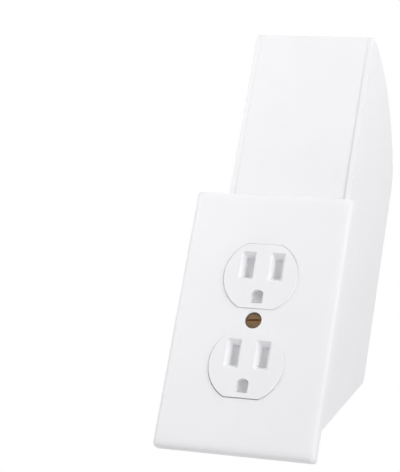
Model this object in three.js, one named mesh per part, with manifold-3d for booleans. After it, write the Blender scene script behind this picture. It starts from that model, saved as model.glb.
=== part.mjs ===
// Wall safe that passes for a duplex electrical outlet.
// A cover plate with two dummy receptacles closes a cut-out in a plasterboard wall. Behind it a moulded
// housing hangs in the wall cavity, with a pocket above the plate and a slanted open mouth below.
// The centre screw turns a two-ended bar that swings out through the side windows behind the board.
//
// Frame, in millimetres: x to the right, y into the wall, z up, as seen by someone facing the wall.
// The origin is the middle of the plate, in the plane where its rim meets the wall.

import * as THREE from "three";
import { mergeVertices } from "three/addons/utils/BufferGeometryUtils.js";
import Module from "manifold-3d";

const wasm = await Module();
wasm.setup();

// Clearances, and how far a cutting tool runs past what it cuts
const SEAT = 0.3;
const PAST = 1;
const RECEPTACLE_GAP = 0.35;
const SCREW_CLEARANCE = 0.3;

// Cover plate
const PLATE_WIDTH = 69.85;
const PLATE_HEIGHT = 114.3;
const PLATE_DEPTH = 5.5;
const PLATE_WALL = 2.2;
const PLATE_CORNER_RADIUS = 1.5;
const PLATE_CORNER_GROWTH = 0.4;
const PLATE_ROLL_WIDTH = 7;
const PLATE_ROLL_DEPTH = 2.9;
const PLATE_ROLL_POWER = 3;

// Dummy receptacles
const RECEPTACLE_PITCH = 39.2;
const RECEPTACLE_RADIUS = 16.2;
const RECEPTACLE_HALF_HEIGHT = 14.3;
const RECEPTACLE_PROUD = 0.6;
const RECEPTACLE_FACE = 2;
const RECEPTACLE_EDGE = 0.4;
const RECEPTACLE_FLANGE = 1.5;
const RECEPTACLE_FLANGE_DEPTH = 1.8;
const RECEPTACLE_WALL = 2;
const BLADE_PITCH = 12.7;
const BLADE_MOUTH_PITCH = 13.6;
const BLADE_MOUTH_WIDTH = 7.2;
const BLADE_MOUTH_HEIGHT = 12.4;
const BLADE_MOUTH_CORNER = 0.7;
const BLADE_FUNNEL_DEPTH = 4;
const BLADE_SLOT_WIDTH = 3.4;
const BLADE_SLOT_HEIGHT = 8.8;
const BLADE_SLOT_CORNER = 0.4;
const BLADE_RISE = 4.5;
const SLOT_DEPTH = 7;
const SLOT_WALL = 1.2;
const GROUND_WIDTH = 5.1;
const GROUND_HEIGHT = 6;
const GROUND_ARCH = 2;
const GROUND_DROP = 9.1;

// Lock screw and its boss
const SCREW_HEAD_RADIUS = 3.7;
const SCREW_CROWN = 0.8;
const SCREW_HEAD_LAND = 0.5;
const SCREW_HEAD_SUNK = 0.8;
const SCREW_SHANK_RADIUS = 2;
const SCREW_SLOT_WIDTH = 1;
const SCREW_SLOT_DEPTH = 1.4;
const SCREW_END_BEYOND_NUT = 1.2;
const SCREW_TIP = 0.6;
const BOSS_RADIUS = 4.6;
const BOSS_RIB = 1.5;
const BOSS_RIB_REACH = 12;
const BOSS_RIB_TOP = 7;

// Latch
const WASHER_RADIUS = 5;
const WASHER_THICKNESS = 0.5;
const WASHER_WAVE = 0.25;
const BAR_GRIP = 12.5;
const BAR_WIDTH = 12;
const BAR_THICKNESS = 2;
const BAR_FLANGE = 1.8;
const BAR_FLANGE_WALL = 1.4;
const BAR_FLANGE_SHORT = 9;
const NUT_ACROSS_FLATS = 7;
const NUT_THICKNESS = 3.2;
const NUT_CHAMFER = 0.6;

// Wall board that the object is made to hang in
const BOARD_THICKNESS = 12.7;
const BOARD_CLEARANCE = 2.3;
const BAR_CLEARANCE = 0.9;

// Housing
const HOUSING_WALL = 2;
const HOUSING_DEPTH = 88;
const HOUSING_SIDE_ROUND = 1.1;
const PLATE_LAP_SIDE = 7.4;
const PLATE_LAP_TOP = 8.85;
const PLATE_LAP_FOOT = 6.85;
const HOOD_TOP = 143.6;
const HOOD_ARC_RADIUS = 88;
const HOOD_BACK_RADIUS = 15;
const MOUTH_FOOT = 6.2;
const MOUTH_FOOT_RADIUS = 14;
const MOUTH_BACK = 2.9;
const MOUTH_BACK_RADIUS = 4;
const FLANGE_CLEARANCE = 2.2;
const FLANGE_THICKNESS = 2;
const FLANGE_CORNER_RADIUS = 2;
const SILL_HEIGHT = 9;
const SILL_THICKNESS = 1.6;
const SILL_INSET = 1.8;

// Side windows for the latch bar
const WINDOW_CLEARANCE = 2.5;
const WINDOW_TIP_CLEARANCE = 4.5;
const WINDOW_FRONT = 2;

// Compartment floor
const FLOOR_CLEARANCE = 2.3;
const FLOOR_THICKNESS = 2;
const FLOOR_INSET = 2.2;
const FLOOR_LIP = 4.6;
const FLOOR_BEAD = 1.2;
const FLOOR_BEAD_WIDTH = 5;
const LEDGE = 1.6;

// Pocket front panel
const PANEL_RECESS_TOP = 0.4;
const PANEL_RECESS_FOOT = 2.4;
const PANEL_THICKNESS = 2;
const PANEL_EDGE_RADIUS = 0.8;
const PANEL_RIM = 3;
const PANEL_RIM_WALL = 1.5;
const PANEL_RIBS = 2;

// Small screws
const SMALL_SHANK_RADIUS = 1.5;
const SMALL_HEAD_RADIUS = 2.8;
const SMALL_HEAD_HEIGHT = 1.9;
const SMALL_HEAD_DOME = 0.6;
const SMALL_TIP = 1.2;
const SMALL_TIP_RADIUS = 0.6;
const SMALL_RECESS_WIDTH = 0.8;
const SMALL_RECESS_LENGTH = 3.4;
const SMALL_RECESS_DEPTH = 1;
const LUG_THICKNESS = 2;
const LUG_REACH = 10;
const LUG_WALL = 1.9;
const LUG_STEP = 1;
const PLATE_BOSS_TOP = 2.7;
const PLATE_SCREW_LENGTH = 6.5;
const FLOOR_SCREW_LENGTH = 5;
const FLOOR_LUG_THICKNESS = 4;

// How finely round stretches are stepped
const ARC_STEPS = 18;
const ROUND_STEPS = 28;
const SMALL_STEPS = 20;
const HOLE_STEPS = 12;
const ROLL_STEPS = 7;
const CROWN_STEPS = 5;
const CORNER_STEPS = 6;
const EDGE_STEPS = 2;

// Derived places, measured along y
const faceY = -PLATE_DEPTH;
const screwRimY = faceY + SCREW_HEAD_SUNK;
const screwLandY = screwRimY + SCREW_HEAD_LAND;
const plateInsideY = faceY + PLATE_WALL;
const receptacleFaceY = faceY - RECEPTACLE_PROUD;
const flangeY = plateInsideY + SEAT;
const plateLugY = PLATE_BOSS_TOP + SEAT;
const barY = BOARD_THICKNESS + BAR_CLEARANCE;
const washerY = barY - SEAT - WASHER_THICKNESS - 2 * WASHER_WAVE;
const bossTopY = washerY - SEAT;
const nutY = barY + BAR_THICKNESS + SEAT;
const screwEndY = nutY + NUT_THICKNESS + SCREW_END_BEYOND_NUT;
const floorY = screwEndY + FLOOR_CLEARANCE;
const floorBackY = floorY + FLOOR_THICKNESS;
const ledgeBackY = floorY - SEAT;
const hoodFrontY = BOARD_THICKNESS + BOARD_CLEARANCE;
const panelSeatY = hoodFrontY + PANEL_RECESS_FOOT + PANEL_THICKNESS + SEAT;

// Derived places, measured along x and z
const housingHalfWidth = PLATE_WIDTH / 2 - PLATE_LAP_SIDE;
const insideHalfWidth = housingHalfWidth - HOUSING_WALL;
const neckTop = PLATE_HEIGHT / 2 - PLATE_LAP_TOP;
const neckFoot = PLATE_LAP_FOOT - PLATE_HEIGHT / 2;
const neckInsideTop = neckTop - HOUSING_WALL;
const insideTop = HOOD_TOP - HOUSING_WALL;
const hoodArcCentreZ = HOOD_TOP - HOOD_ARC_RADIUS;
const barHalfLength = housingHalfWidth + BAR_GRIP;
const windowNear = BAR_WIDTH / 2 + WINDOW_CLEARANCE;
const windowFar = Math.sqrt(barHalfLength ** 2 - insideHalfWidth ** 2) + WINDOW_TIP_CLEARANCE;
const sillZ = neckFoot + SILL_INSET;
const floorEndZ = mouthZ(floorBackY) + FLOOR_INSET;
const floorScrewRise = (windowNear - floorEndZ) / 2;
const smallHole = SMALL_SHANK_RADIUS + SCREW_CLEARANCE;
const lugEdge = smallHole + LUG_WALL;
const screwX = insideHalfWidth - lugEdge - LUG_STEP;
const plateScrewTopZ = neckInsideTop - lugEdge - LUG_STEP;
const plateScrewFootZ = sillZ + SILL_THICKNESS + lugEdge + LUG_STEP;

// The slanted edge of the mouth: its height at a depth.
function mouthZ(y) {
  return neckFoot + ((MOUTH_BACK - neckFoot) * (y - MOUTH_FOOT)) / (HOUSING_DEPTH - MOUTH_FOOT);
}

// The front of the pocket panel leans in towards its foot: its depth at a height.
function panelY(z) {
  const share = (z - neckTop) / (HOOD_TOP - neckTop);
  return hoodFrontY + PANEL_RECESS_FOOT + share * (PANEL_RECESS_TOP - PANEL_RECESS_FOOT);
}

// Finishes
const plastic = new THREE.MeshStandardMaterial({ color: 0xeeeef1, roughness: 0.35, metalness: 0 });
const innerPlastic = new THREE.MeshStandardMaterial({ color: 0xe9e9ec, roughness: 0.45, metalness: 0 });
const brass = new THREE.MeshStandardMaterial({ color: 0x8a6a45, roughness: 0.4, metalness: 1 });
const steel = new THREE.MeshStandardMaterial({ color: 0xb9bcc0, roughness: 0.35, metalness: 1 });

// Solids from geometries

function solid(geometry) {
  const bare = geometry.index ? geometry.toNonIndexed() : geometry.clone();
  bare.deleteAttribute("normal");
  bare.deleteAttribute("uv");
  const merged = mergeVertices(bare, 1e-4);
  const mesh = new wasm.Mesh({
    numProp: 3,
    vertProperties: new Float32Array(merged.attributes.position.array),
    triVerts: new Uint32Array(merged.index.array),
  });
  return new wasm.Manifold(mesh);
}

function meshOf(body, name, material) {
  const mesh = body.getMesh();
  const geometry = new THREE.BufferGeometry();
  geometry.setAttribute("position", new THREE.BufferAttribute(new Float32Array(mesh.vertProperties), 3));
  geometry.setIndex(new THREE.BufferAttribute(new Uint32Array(mesh.triVerts), 1));
  geometry.computeVertexNormals();
  const result = new THREE.Mesh(geometry, material);
  result.name = name;
  return result;
}

function joined(bodies) {
  return bodies.reduce((whole, body) => whole.add(body));
}

function without(body, cuts) {
  return cuts.reduce((whole, cut) => whole.subtract(cut), body);
}

// Two places on a mirrored side, the lower one first.
function sorted(a, b) {
  return [Math.min(a, b), Math.max(a, b)];
}

function box(x0, x1, y0, y1, z0, z1) {
  const geometry = new THREE.BoxGeometry(x1 - x0, y1 - y0, z1 - z0);
  geometry.translate((x0 + x1) / 2, (y0 + y1) / 2, (z0 + z1) / 2);
  return solid(geometry);
}

// A shape drawn in x and z, carried from y0 to y1.
function prismY(shape, y0, y1, bevel = {}) {
  const geometry = new THREE.ExtrudeGeometry(shape, {
    depth: y1 - y0,
    bevelEnabled: false,
    curveSegments: ROUND_STEPS / 2,
    ...bevel,
  });
  geometry.applyMatrix4(
    new THREE.Matrix4().makeBasis(
      new THREE.Vector3(1, 0, 0),
      new THREE.Vector3(0, 0, 1),
      new THREE.Vector3(0, -1, 0),
    ),
  );
  geometry.translate(0, y1, 0);
  return solid(geometry);
}

// A shape drawn in y and z, carried from x0 to x1.
function prismX(shape, x0, x1, bevel = {}) {
  const geometry = new THREE.ExtrudeGeometry(shape, { depth: x1 - x0, bevelEnabled: false, ...bevel });
  geometry.applyMatrix4(
    new THREE.Matrix4().makeBasis(
      new THREE.Vector3(0, 1, 0),
      new THREE.Vector3(0, 0, 1),
      new THREE.Vector3(1, 0, 0),
    ),
  );
  geometry.translate(x0, 0, 0);
  return solid(geometry);
}

// A profile of radius and y, turned about the y axis. It runs from the axis back to the axis.
function turned(points, steps = ROUND_STEPS) {
  const profile = points.map(([radius, y]) => new THREE.Vector2(radius, y));
  return solid(new THREE.LatheGeometry(profile, steps));
}

function cylinder(radius, y0, y1, steps = ROUND_STEPS) {
  return turned([[0, y0], [radius, y0], [radius, y1], [0, y1]], steps);
}

// Points of a rectangle with round corners about the origin.
function roundedRectangle(halfWidth, halfHeight, radius, steps = 5) {
  const corners = [[1, 1, 0], [-1, 1, 1], [-1, -1, 2], [1, -1, 3]];
  return corners.flatMap(([sx, sz, quarter]) =>
    Array.from({ length: steps + 1 }, (_, i) => {
      const angle = (quarter + i / steps) * (Math.PI / 2);
      return new THREE.Vector2(
        sx * (halfWidth - radius) + radius * Math.cos(angle),
        sz * (halfHeight - radius) + radius * Math.sin(angle),
      );
    }),
  );
}

// A closed skin through rings of points in x and z, each at its own y, from the back to the front.
function loft(rings) {
  const count = rings[0].points.length;
  const positions = rings.flatMap(({ points, y }) => points.flatMap((p) => [p.x, y, p.y]));
  const index = [];
  for (let r = 0; r + 1 < rings.length; r++) {
    for (let i = 0; i < count; i++) {
      const a = r * count + i;
      const b = r * count + ((i + 1) % count);
      index.push(a, b, b + count, a, b + count, a + count);
    }
  }
  const last = (rings.length - 1) * count;
  for (let i = 1; i + 1 < count; i++) {
    index.push(0, i + 1, i);
    index.push(last, last + i, last + i + 1);
  }
  const geometry = new THREE.BufferGeometry();
  geometry.setAttribute("position", new THREE.Float32BufferAttribute(positions, 3));
  geometry.setIndex(index);
  return solid(geometry);
}

// The outline of a receptacle: a circle cut flat above and below.
function flattedCircle(radius, halfHeight) {
  const half = Math.asin(halfHeight / radius);
  const shape = new THREE.Shape();
  shape.absarc(0, 0, radius, -half, half, false);
  shape.absarc(0, 0, radius, Math.PI - half, Math.PI + half, false);
  return shape;
}

// Outline points, with each corner [a, b, radius] rounded to its radius.
function filleted(corners, steps = CORNER_STEPS) {
  const count = corners.length;
  return corners.flatMap(([a, b, radius], i) => {
    const here = new THREE.Vector2(a, b);
    if (!radius) return [here];
    const before = corners[(i + count - 1) % count];
    const after = corners[(i + 1) % count];
    const back = new THREE.Vector2(before[0] - a, before[1] - b).normalize();
    const on = new THREE.Vector2(after[0] - a, after[1] - b).normalize();
    const half = Math.acos(back.dot(on)) / 2;
    const reach = radius / Math.tan(half);
    const middle = back.clone().add(on).normalize();
    const centre = here.clone().addScaledVector(middle, radius / Math.sin(half));
    const start = here.clone().addScaledVector(back, reach).sub(centre);
    const end = here.clone().addScaledVector(on, reach).sub(centre);
    const turn = Math.atan2(start.x * end.y - start.y * end.x, start.dot(end));
    return Array.from({ length: steps + 1 }, (_, k) =>
      start.clone().rotateAround(new THREE.Vector2(), (turn * k) / steps).add(centre),
    );
  });
}

// Cover plate: a tray with a round front edge, two receptacle openings, a screw boss and four corner bosses.

// The front rolls back to the sides along a superellipse, so it is nearly flat in the middle.
function plateBlank() {
  const ring = (inset, y) => ({
    points: roundedRectangle(
      PLATE_WIDTH / 2 - inset,
      PLATE_HEIGHT / 2 - inset,
      PLATE_CORNER_RADIUS + inset * PLATE_CORNER_GROWTH,
    ),
    y,
  });
  const rolls = Array.from({ length: ROLL_STEPS + 1 }, (_, i) => {
    const angle = (i / ROLL_STEPS) * (Math.PI / 2);
    const inset = PLATE_ROLL_WIDTH * (1 - Math.cos(angle) ** (2 / PLATE_ROLL_POWER));
    const rise = PLATE_ROLL_DEPTH * Math.sin(angle) ** (2 / PLATE_ROLL_POWER);
    return ring(inset, faceY + PLATE_ROLL_DEPTH - rise);
  });
  return loft([ring(0, 0), ...rolls]);
}

function plateRecess() {
  const shape = new THREE.Shape(
    roundedRectangle(PLATE_WIDTH / 2 - PLATE_WALL, PLATE_HEIGHT / 2 - PLATE_WALL, PLATE_CORNER_RADIUS / 2),
  );
  return prismY(shape, plateInsideY, PAST);
}

function bossRibs() {
  const shape = new THREE.Shape();
  shape.moveTo(-BOSS_RIB_REACH, plateInsideY - PAST);
  shape.lineTo(BOSS_RIB_REACH, plateInsideY - PAST);
  shape.lineTo(BOSS_RADIUS - PAST, BOSS_RIB_TOP);
  shape.lineTo(PAST - BOSS_RADIUS, BOSS_RIB_TOP);
  const geometry = new THREE.ExtrudeGeometry(shape, { depth: BOSS_RIB, bevelEnabled: false });
  geometry.translate(0, 0, -BOSS_RIB / 2);
  return solid(geometry);
}

function screwHole() {
  const hole = SCREW_SHANK_RADIUS + SCREW_CLEARANCE;
  const seat = SCREW_HEAD_RADIUS + SCREW_CLEARANCE;
  const coneY = screwLandY + SCREW_CLEARANCE;
  const coneEndY = coneY + seat - hole;
  const startY = faceY - PAST;
  const endY = bossTopY + PAST;
  return turned([[0, startY], [seat, startY], [seat, coneY], [hole, coneEndY], [hole, endY], [0, endY]]);
}

function plateScrewPlaces() {
  return [
    [-screwX, plateScrewTopZ],
    [screwX, plateScrewTopZ],
    [-screwX, plateScrewFootZ],
    [screwX, plateScrewFootZ],
  ];
}

function facePlate() {
  const bosses = plateScrewPlaces().map(([x, z]) =>
    cylinder(lugEdge, plateInsideY - PAST, PLATE_BOSS_TOP, SMALL_STEPS).translate([x, 0, z]),
  );
  const pilots = plateScrewPlaces().map(([x, z]) =>
    cylinder(smallHole, plateInsideY, PLATE_BOSS_TOP + PAST, HOLE_STEPS).translate([x, 0, z]),
  );
  const openings = [1, -1].map((side) =>
    prismY(
      flattedCircle(RECEPTACLE_RADIUS + RECEPTACLE_GAP, RECEPTACLE_HALF_HEIGHT + RECEPTACLE_GAP),
      faceY - PAST,
      plateInsideY + PAST,
    ).translate([0, 0, (side * RECEPTACLE_PITCH) / 2]),
  );
  const tray = plateBlank().subtract(plateRecess());
  const built = joined([tray, cylinder(BOSS_RADIUS, plateInsideY - PAST, bossTopY), bossRibs(), ...bosses]);
  return meshOf(without(built, [...openings, ...pilots, screwHole()]), "face_plate", plastic);
}

// Dummy receptacle: a raised face with two funnelled blade slots and a ground hole, each a blind cup behind.

function bladeSlot(side) {
  const x = (side * BLADE_PITCH) / 2;
  const mouthX = (side * BLADE_MOUTH_PITCH) / 2;
  const throatY = receptacleFaceY + BLADE_FUNNEL_DEPTH;
  const outline = (width, height, corner) => roundedRectangle(width / 2, height / 2, corner, EDGE_STEPS);
  const mouth = outline(BLADE_MOUTH_WIDTH, BLADE_MOUTH_HEIGHT, BLADE_MOUTH_CORNER);
  const throat = outline(BLADE_SLOT_WIDTH, BLADE_SLOT_HEIGHT, BLADE_SLOT_CORNER);
  const moved = (points, by) => points.map((p) => new THREE.Vector2(p.x + by, p.y));
  const funnel = loft([
    { points: moved(throat, x), y: throatY },
    { points: moved(mouth, mouthX), y: receptacleFaceY },
    { points: moved(mouth, mouthX), y: receptacleFaceY - PAST },
  ]);
  const slot = box(
    x - BLADE_SLOT_WIDTH / 2,
    x + BLADE_SLOT_WIDTH / 2,
    throatY - PAST,
    receptacleFaceY + SLOT_DEPTH,
    -BLADE_SLOT_HEIGHT / 2,
    BLADE_SLOT_HEIGHT / 2,
  );
  return funnel.add(slot).translate([0, 0, BLADE_RISE]);
}

function groundOutline(wall) {
  const half = GROUND_WIDTH / 2 + wall;
  const foot = -GROUND_HEIGHT / 2 - wall;
  const spring = GROUND_HEIGHT / 2 - GROUND_ARCH;
  const shape = new THREE.Shape();
  shape.moveTo(-half, foot);
  shape.lineTo(half, foot);
  shape.absellipse(0, spring, half, GROUND_ARCH + wall, 0, Math.PI, false, 0);
  return shape;
}

// Cups behind the face: a collar round each funnel, a box round each slot and one round the ground hole.
function slotCups() {
  const frontY = receptacleFaceY + RECEPTACLE_FACE / 2;
  const throatY = receptacleFaceY + BLADE_FUNNEL_DEPTH;
  const backY = receptacleFaceY + SLOT_DEPTH + SLOT_WALL;
  const around = (x, width, height, endY) => {
    const halfWidth = width / 2 + SLOT_WALL;
    const halfHeight = height / 2 + SLOT_WALL;
    return box(x - halfWidth, x + halfWidth, frontY, endY, BLADE_RISE - halfHeight, BLADE_RISE + halfHeight);
  };
  const blades = [1, -1].flatMap((side) => [
    around((side * BLADE_MOUTH_PITCH) / 2, BLADE_MOUTH_WIDTH, BLADE_MOUTH_HEIGHT, throatY),
    around((side * BLADE_PITCH) / 2, BLADE_SLOT_WIDTH, BLADE_SLOT_HEIGHT, backY),
  ]);
  const ground = prismY(groundOutline(SLOT_WALL), frontY, backY).translate([0, 0, -GROUND_DROP]);
  return [...blades, ground];
}

function receptacle(name, side) {
  const flangeFrontY = plateInsideY + SEAT;
  const flangeBackY = flangeFrontY + RECEPTACLE_FLANGE_DEPTH;
  const face = prismY(
    flattedCircle(RECEPTACLE_RADIUS, RECEPTACLE_HALF_HEIGHT),
    receptacleFaceY + RECEPTACLE_EDGE,
    flangeBackY,
    {
      bevelEnabled: true,
      bevelThickness: RECEPTACLE_EDGE,
      bevelSize: RECEPTACLE_EDGE,
      bevelOffset: -RECEPTACLE_EDGE,
      bevelSegments: EDGE_STEPS,
    },
  );
  const flange = prismY(
    flattedCircle(RECEPTACLE_RADIUS + RECEPTACLE_FLANGE + RECEPTACLE_GAP, RECEPTACLE_HALF_HEIGHT),
    flangeFrontY,
    flangeBackY,
  );
  const hollow = prismY(
    flattedCircle(RECEPTACLE_RADIUS - RECEPTACLE_WALL, RECEPTACLE_HALF_HEIGHT - RECEPTACLE_WALL),
    receptacleFaceY + RECEPTACLE_FACE,
    flangeBackY + PAST,
  );
  const rim = face.add(flange).subtract(hollow);
  const cupLimit = prismY(
    flattedCircle(RECEPTACLE_RADIUS - RECEPTACLE_EDGE, RECEPTACLE_HALF_HEIGHT - RECEPTACLE_EDGE),
    receptacleFaceY,
    bossTopY,
  );
  const cups = joined(slotCups()).intersect(cupLimit);
  const ground = prismY(groundOutline(0), receptacleFaceY - PAST, receptacleFaceY + SLOT_DEPTH);
  const cuts = [bladeSlot(1), bladeSlot(-1), ground.translate([0, 0, -GROUND_DROP])];
  const body = without(rim.add(cups), cuts).translate([0, 0, (side * RECEPTACLE_PITCH) / 2]);
  return meshOf(body, name, plastic);
}

// Lock screw: an oval head with a straight slot, lying across at rest, on a plain shank.

function lockScrew() {
  const crownY = screwRimY - SCREW_CROWN;
  const sphere = (SCREW_HEAD_RADIUS ** 2 + SCREW_CROWN ** 2) / (2 * SCREW_CROWN);
  const crown = Array.from({ length: CROWN_STEPS + 1 }, (_, i) => {
    const radius = (SCREW_HEAD_RADIUS * i) / CROWN_STEPS;
    return [radius, crownY + sphere - Math.sqrt(sphere ** 2 - radius ** 2)];
  });
  const blank = turned([
    ...crown,
    [SCREW_HEAD_RADIUS, screwLandY],
    [SCREW_SHANK_RADIUS, screwLandY + SCREW_HEAD_RADIUS - SCREW_SHANK_RADIUS],
    [SCREW_SHANK_RADIUS, screwEndY - SCREW_TIP],
    [SCREW_SHANK_RADIUS - SCREW_TIP, screwEndY],
    [0, screwEndY],
  ]);
  const reach = SCREW_HEAD_RADIUS + PAST;
  const half = SCREW_SLOT_WIDTH / 2;
  const slot = box(-reach, reach, crownY - PAST, crownY + SCREW_SLOT_DEPTH, -half, half);
  return meshOf(blank.subtract(slot), "lock_screw", brass);
}

// Wave washer: a thin ring that rises and falls twice round, and drags on the bar so that it stays put.

function waveWasher() {
  const inner = SCREW_SHANK_RADIUS + SCREW_CLEARANCE;
  const profile = [
    new THREE.Vector2(inner, 0),
    new THREE.Vector2(WASHER_RADIUS, 0),
    new THREE.Vector2(WASHER_RADIUS, WASHER_THICKNESS),
    new THREE.Vector2(inner, WASHER_THICKNESS),
    new THREE.Vector2(inner, 0),
  ];
  const geometry = new THREE.LatheGeometry(profile, ROUND_STEPS);
  const position = geometry.getAttribute("position");
  for (let i = 0; i < position.count; i++) {
    const angle = Math.atan2(position.getZ(i), position.getX(i));
    position.setY(i, position.getY(i) + washerY + WASHER_WAVE * (1 + Math.cos(2 * angle)));
  }
  return meshOf(solid(geometry), "wave_washer", steel);
}

// Latch bar: a pressed channel with round tips. Each tip swings out through its own window.

function latchBar() {
  const half = BAR_WIDTH / 2;
  const straight = barHalfLength - half;
  const flangeHalfLength = barHalfLength - BAR_FLANGE_SHORT;
  const outline = new THREE.Shape();
  outline.absarc(0, straight, half, 0, Math.PI, false);
  outline.absarc(0, -straight, half, Math.PI, 2 * Math.PI, false);
  const web = prismY(outline, barY, barY + BAR_THICKNESS);
  const flangeBackY = barY + BAR_THICKNESS + BAR_FLANGE;
  const flanges = [1, -1].map((side) => {
    const outer = side * half;
    const inner = side * (half - BAR_FLANGE_WALL);
    const slope = BAR_FLANGE;
    const shape = new THREE.Shape();
    shape.moveTo(barY + BAR_THICKNESS / 4, -flangeHalfLength - slope);
    shape.lineTo(barY + BAR_THICKNESS / 4, flangeHalfLength + slope);
    shape.lineTo(flangeBackY, flangeHalfLength);
    shape.lineTo(flangeBackY, -flangeHalfLength);
    return prismX(shape, ...sorted(inner, outer));
  });
  const hole = cylinder(SCREW_SHANK_RADIUS + SCREW_CLEARANCE, barY - PAST, flangeBackY);
  return meshOf(joined([web, ...flanges]).subtract(hole), "latch_bar", steel);
}

function latchNut() {
  const corner = NUT_ACROSS_FLATS / 2 / Math.cos(Math.PI / 6);
  const outline = new THREE.Shape(
    Array.from({ length: 6 }, (_, i) => {
      const angle = (i * Math.PI) / 3;
      return new THREE.Vector2(corner * Math.cos(angle), corner * Math.sin(angle));
    }),
  );
  const hole = cylinder(SCREW_SHANK_RADIUS + SCREW_CLEARANCE, nutY - PAST, nutY + NUT_THICKNESS + PAST);
  const cone = turned([
    [0, nutY],
    [corner - NUT_CHAMFER, nutY],
    [corner, nutY + NUT_CHAMFER],
    [corner, nutY + NUT_THICKNESS - NUT_CHAMFER],
    [corner - NUT_CHAMFER, nutY + NUT_THICKNESS],
    [0, nutY + NUT_THICKNESS],
  ]);
  const body = prismY(outline, nutY, nutY + NUT_THICKNESS).intersect(cone).subtract(hole);
  return meshOf(body, "latch_nut", steel);
}

// Housing: one moulding of side walls, back, curved top and neck, open at the slanted mouth below.

// The height of the hood's inside at a depth.
function hoodInsideZ(y) {
  return hoodArcCentreZ + Math.sqrt((HOOD_ARC_RADIUS - HOUSING_WALL) ** 2 - (y - hoodFrontY) ** 2);
}

// The curve of the hood in y and z, set in from the outside by a wall. It rises from the back to endY.
function hoodCurve(wall, endY) {
  const radius = HOOD_ARC_RADIUS - wall;
  const corner = HOOD_BACK_RADIUS - wall;
  const cornerY = HOUSING_DEPTH - wall - corner;
  const cornerZ = hoodArcCentreZ + Math.sqrt((radius - corner) ** 2 - (cornerY - hoodFrontY) ** 2);
  const join = Math.atan2(cornerZ - hoodArcCentreZ, cornerY - hoodFrontY);
  const end = Math.acos((endY - hoodFrontY) / radius);
  const points = [];
  for (let i = 0; i <= CORNER_STEPS; i++) {
    const angle = (join * i) / CORNER_STEPS;
    points.push(new THREE.Vector2(cornerY + corner * Math.cos(angle), cornerZ + corner * Math.sin(angle)));
  }
  for (let i = 1; i <= ARC_STEPS; i++) {
    const angle = join + ((end - join) * i) / ARC_STEPS;
    points.push(
      new THREE.Vector2(hoodFrontY + radius * Math.cos(angle), hoodArcCentreZ + radius * Math.sin(angle)),
    );
  }
  return points;
}

function housingOutline() {
  const lower = filleted([
    [hoodFrontY, neckTop, 0],
    [flangeY, neckTop, 0],
    [flangeY, neckFoot, 0],
    [MOUTH_FOOT, neckFoot, MOUTH_FOOT_RADIUS],
    [HOUSING_DEPTH, MOUTH_BACK, MOUTH_BACK_RADIUS],
    [HOUSING_DEPTH, HOOD_TOP / 2, 0],
  ]);
  return new THREE.Shape([...lower, ...hoodCurve(0, hoodFrontY)]);
}

// The hollow is open at the mouth, at the front of the neck, and at the front of the pocket for its panel.
function housingHollow() {
  const low = 2 * neckFoot;
  const inner = HOUSING_DEPTH - HOUSING_WALL;
  const topSeatY = panelY(HOOD_TOP) + PANEL_THICKNESS + SEAT;
  const points = [
    new THREE.Vector2(flangeY - PAST, neckInsideTop),
    new THREE.Vector2(flangeY - PAST, low),
    new THREE.Vector2(inner, low),
    ...hoodCurve(HOUSING_WALL, topSeatY),
    new THREE.Vector2(topSeatY, HOOD_TOP + PAST),
    new THREE.Vector2(hoodFrontY - PAST, HOOD_TOP + PAST),
    new THREE.Vector2(hoodFrontY - PAST, neckTop),
    new THREE.Vector2(panelSeatY, neckTop),
    new THREE.Vector2(panelSeatY, neckInsideTop),
  ];
  return prismX(new THREE.Shape(points), -insideHalfWidth, insideHalfWidth);
}

// The right window lies above the middle and the left one below it, as the bar's two tips need.
function windows() {
  return [1, -1].map((side) => {
    const x = sorted(side * (insideHalfWidth - PAST), side * (housingHalfWidth + PAST));
    const z = sorted(-side * windowNear, side * windowFar);
    return box(x[0], x[1], WINDOW_FRONT, ledgeBackY, z[0], z[1]);
  });
}

function baseFlange() {
  const reach = PLATE_WALL + FLANGE_CLEARANCE;
  const outline = roundedRectangle(PLATE_WIDTH / 2 - reach, PLATE_HEIGHT / 2 - reach, FLANGE_CORNER_RADIUS);
  const plate = prismY(new THREE.Shape(outline), flangeY, flangeY + FLANGE_THICKNESS);
  const endY = flangeY + FLANGE_THICKNESS + PAST;
  const lowZ = sillZ + SILL_THICKNESS / 2;
  return plate.subtract(box(-insideHalfWidth, insideHalfWidth, flangeY - PAST, endY, lowZ, neckInsideTop));
}

function sill() {
  const reach = insideHalfWidth + HOUSING_WALL / 2;
  return box(-reach, reach, flangeY, SILL_HEIGHT, sillZ, sillZ + SILL_THICKNESS);
}

// Corner lugs inside the neck, which rest on the bosses of the cover plate.
function plateLugs() {
  const wallX = insideHalfWidth + HOUSING_WALL / 2;
  return plateScrewPlaces().map(([x, z]) => {
    const outward = Math.sign(x);
    const endZ = z > 0 ? neckInsideTop + HOUSING_WALL / 2 : sillZ + SILL_THICKNESS / 2;
    const xs = sorted(x - outward * lugEdge, outward * wallX);
    const zs = sorted(z - Math.sign(z) * lugEdge, endZ);
    return box(xs[0], xs[1], plateLugY, plateLugY + LUG_THICKNESS, zs[0], zs[1]);
  });
}

function floorScrewPlaces() {
  return [
    [screwX, -floorScrewRise],
    [-screwX, floorScrewRise],
  ];
}

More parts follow.
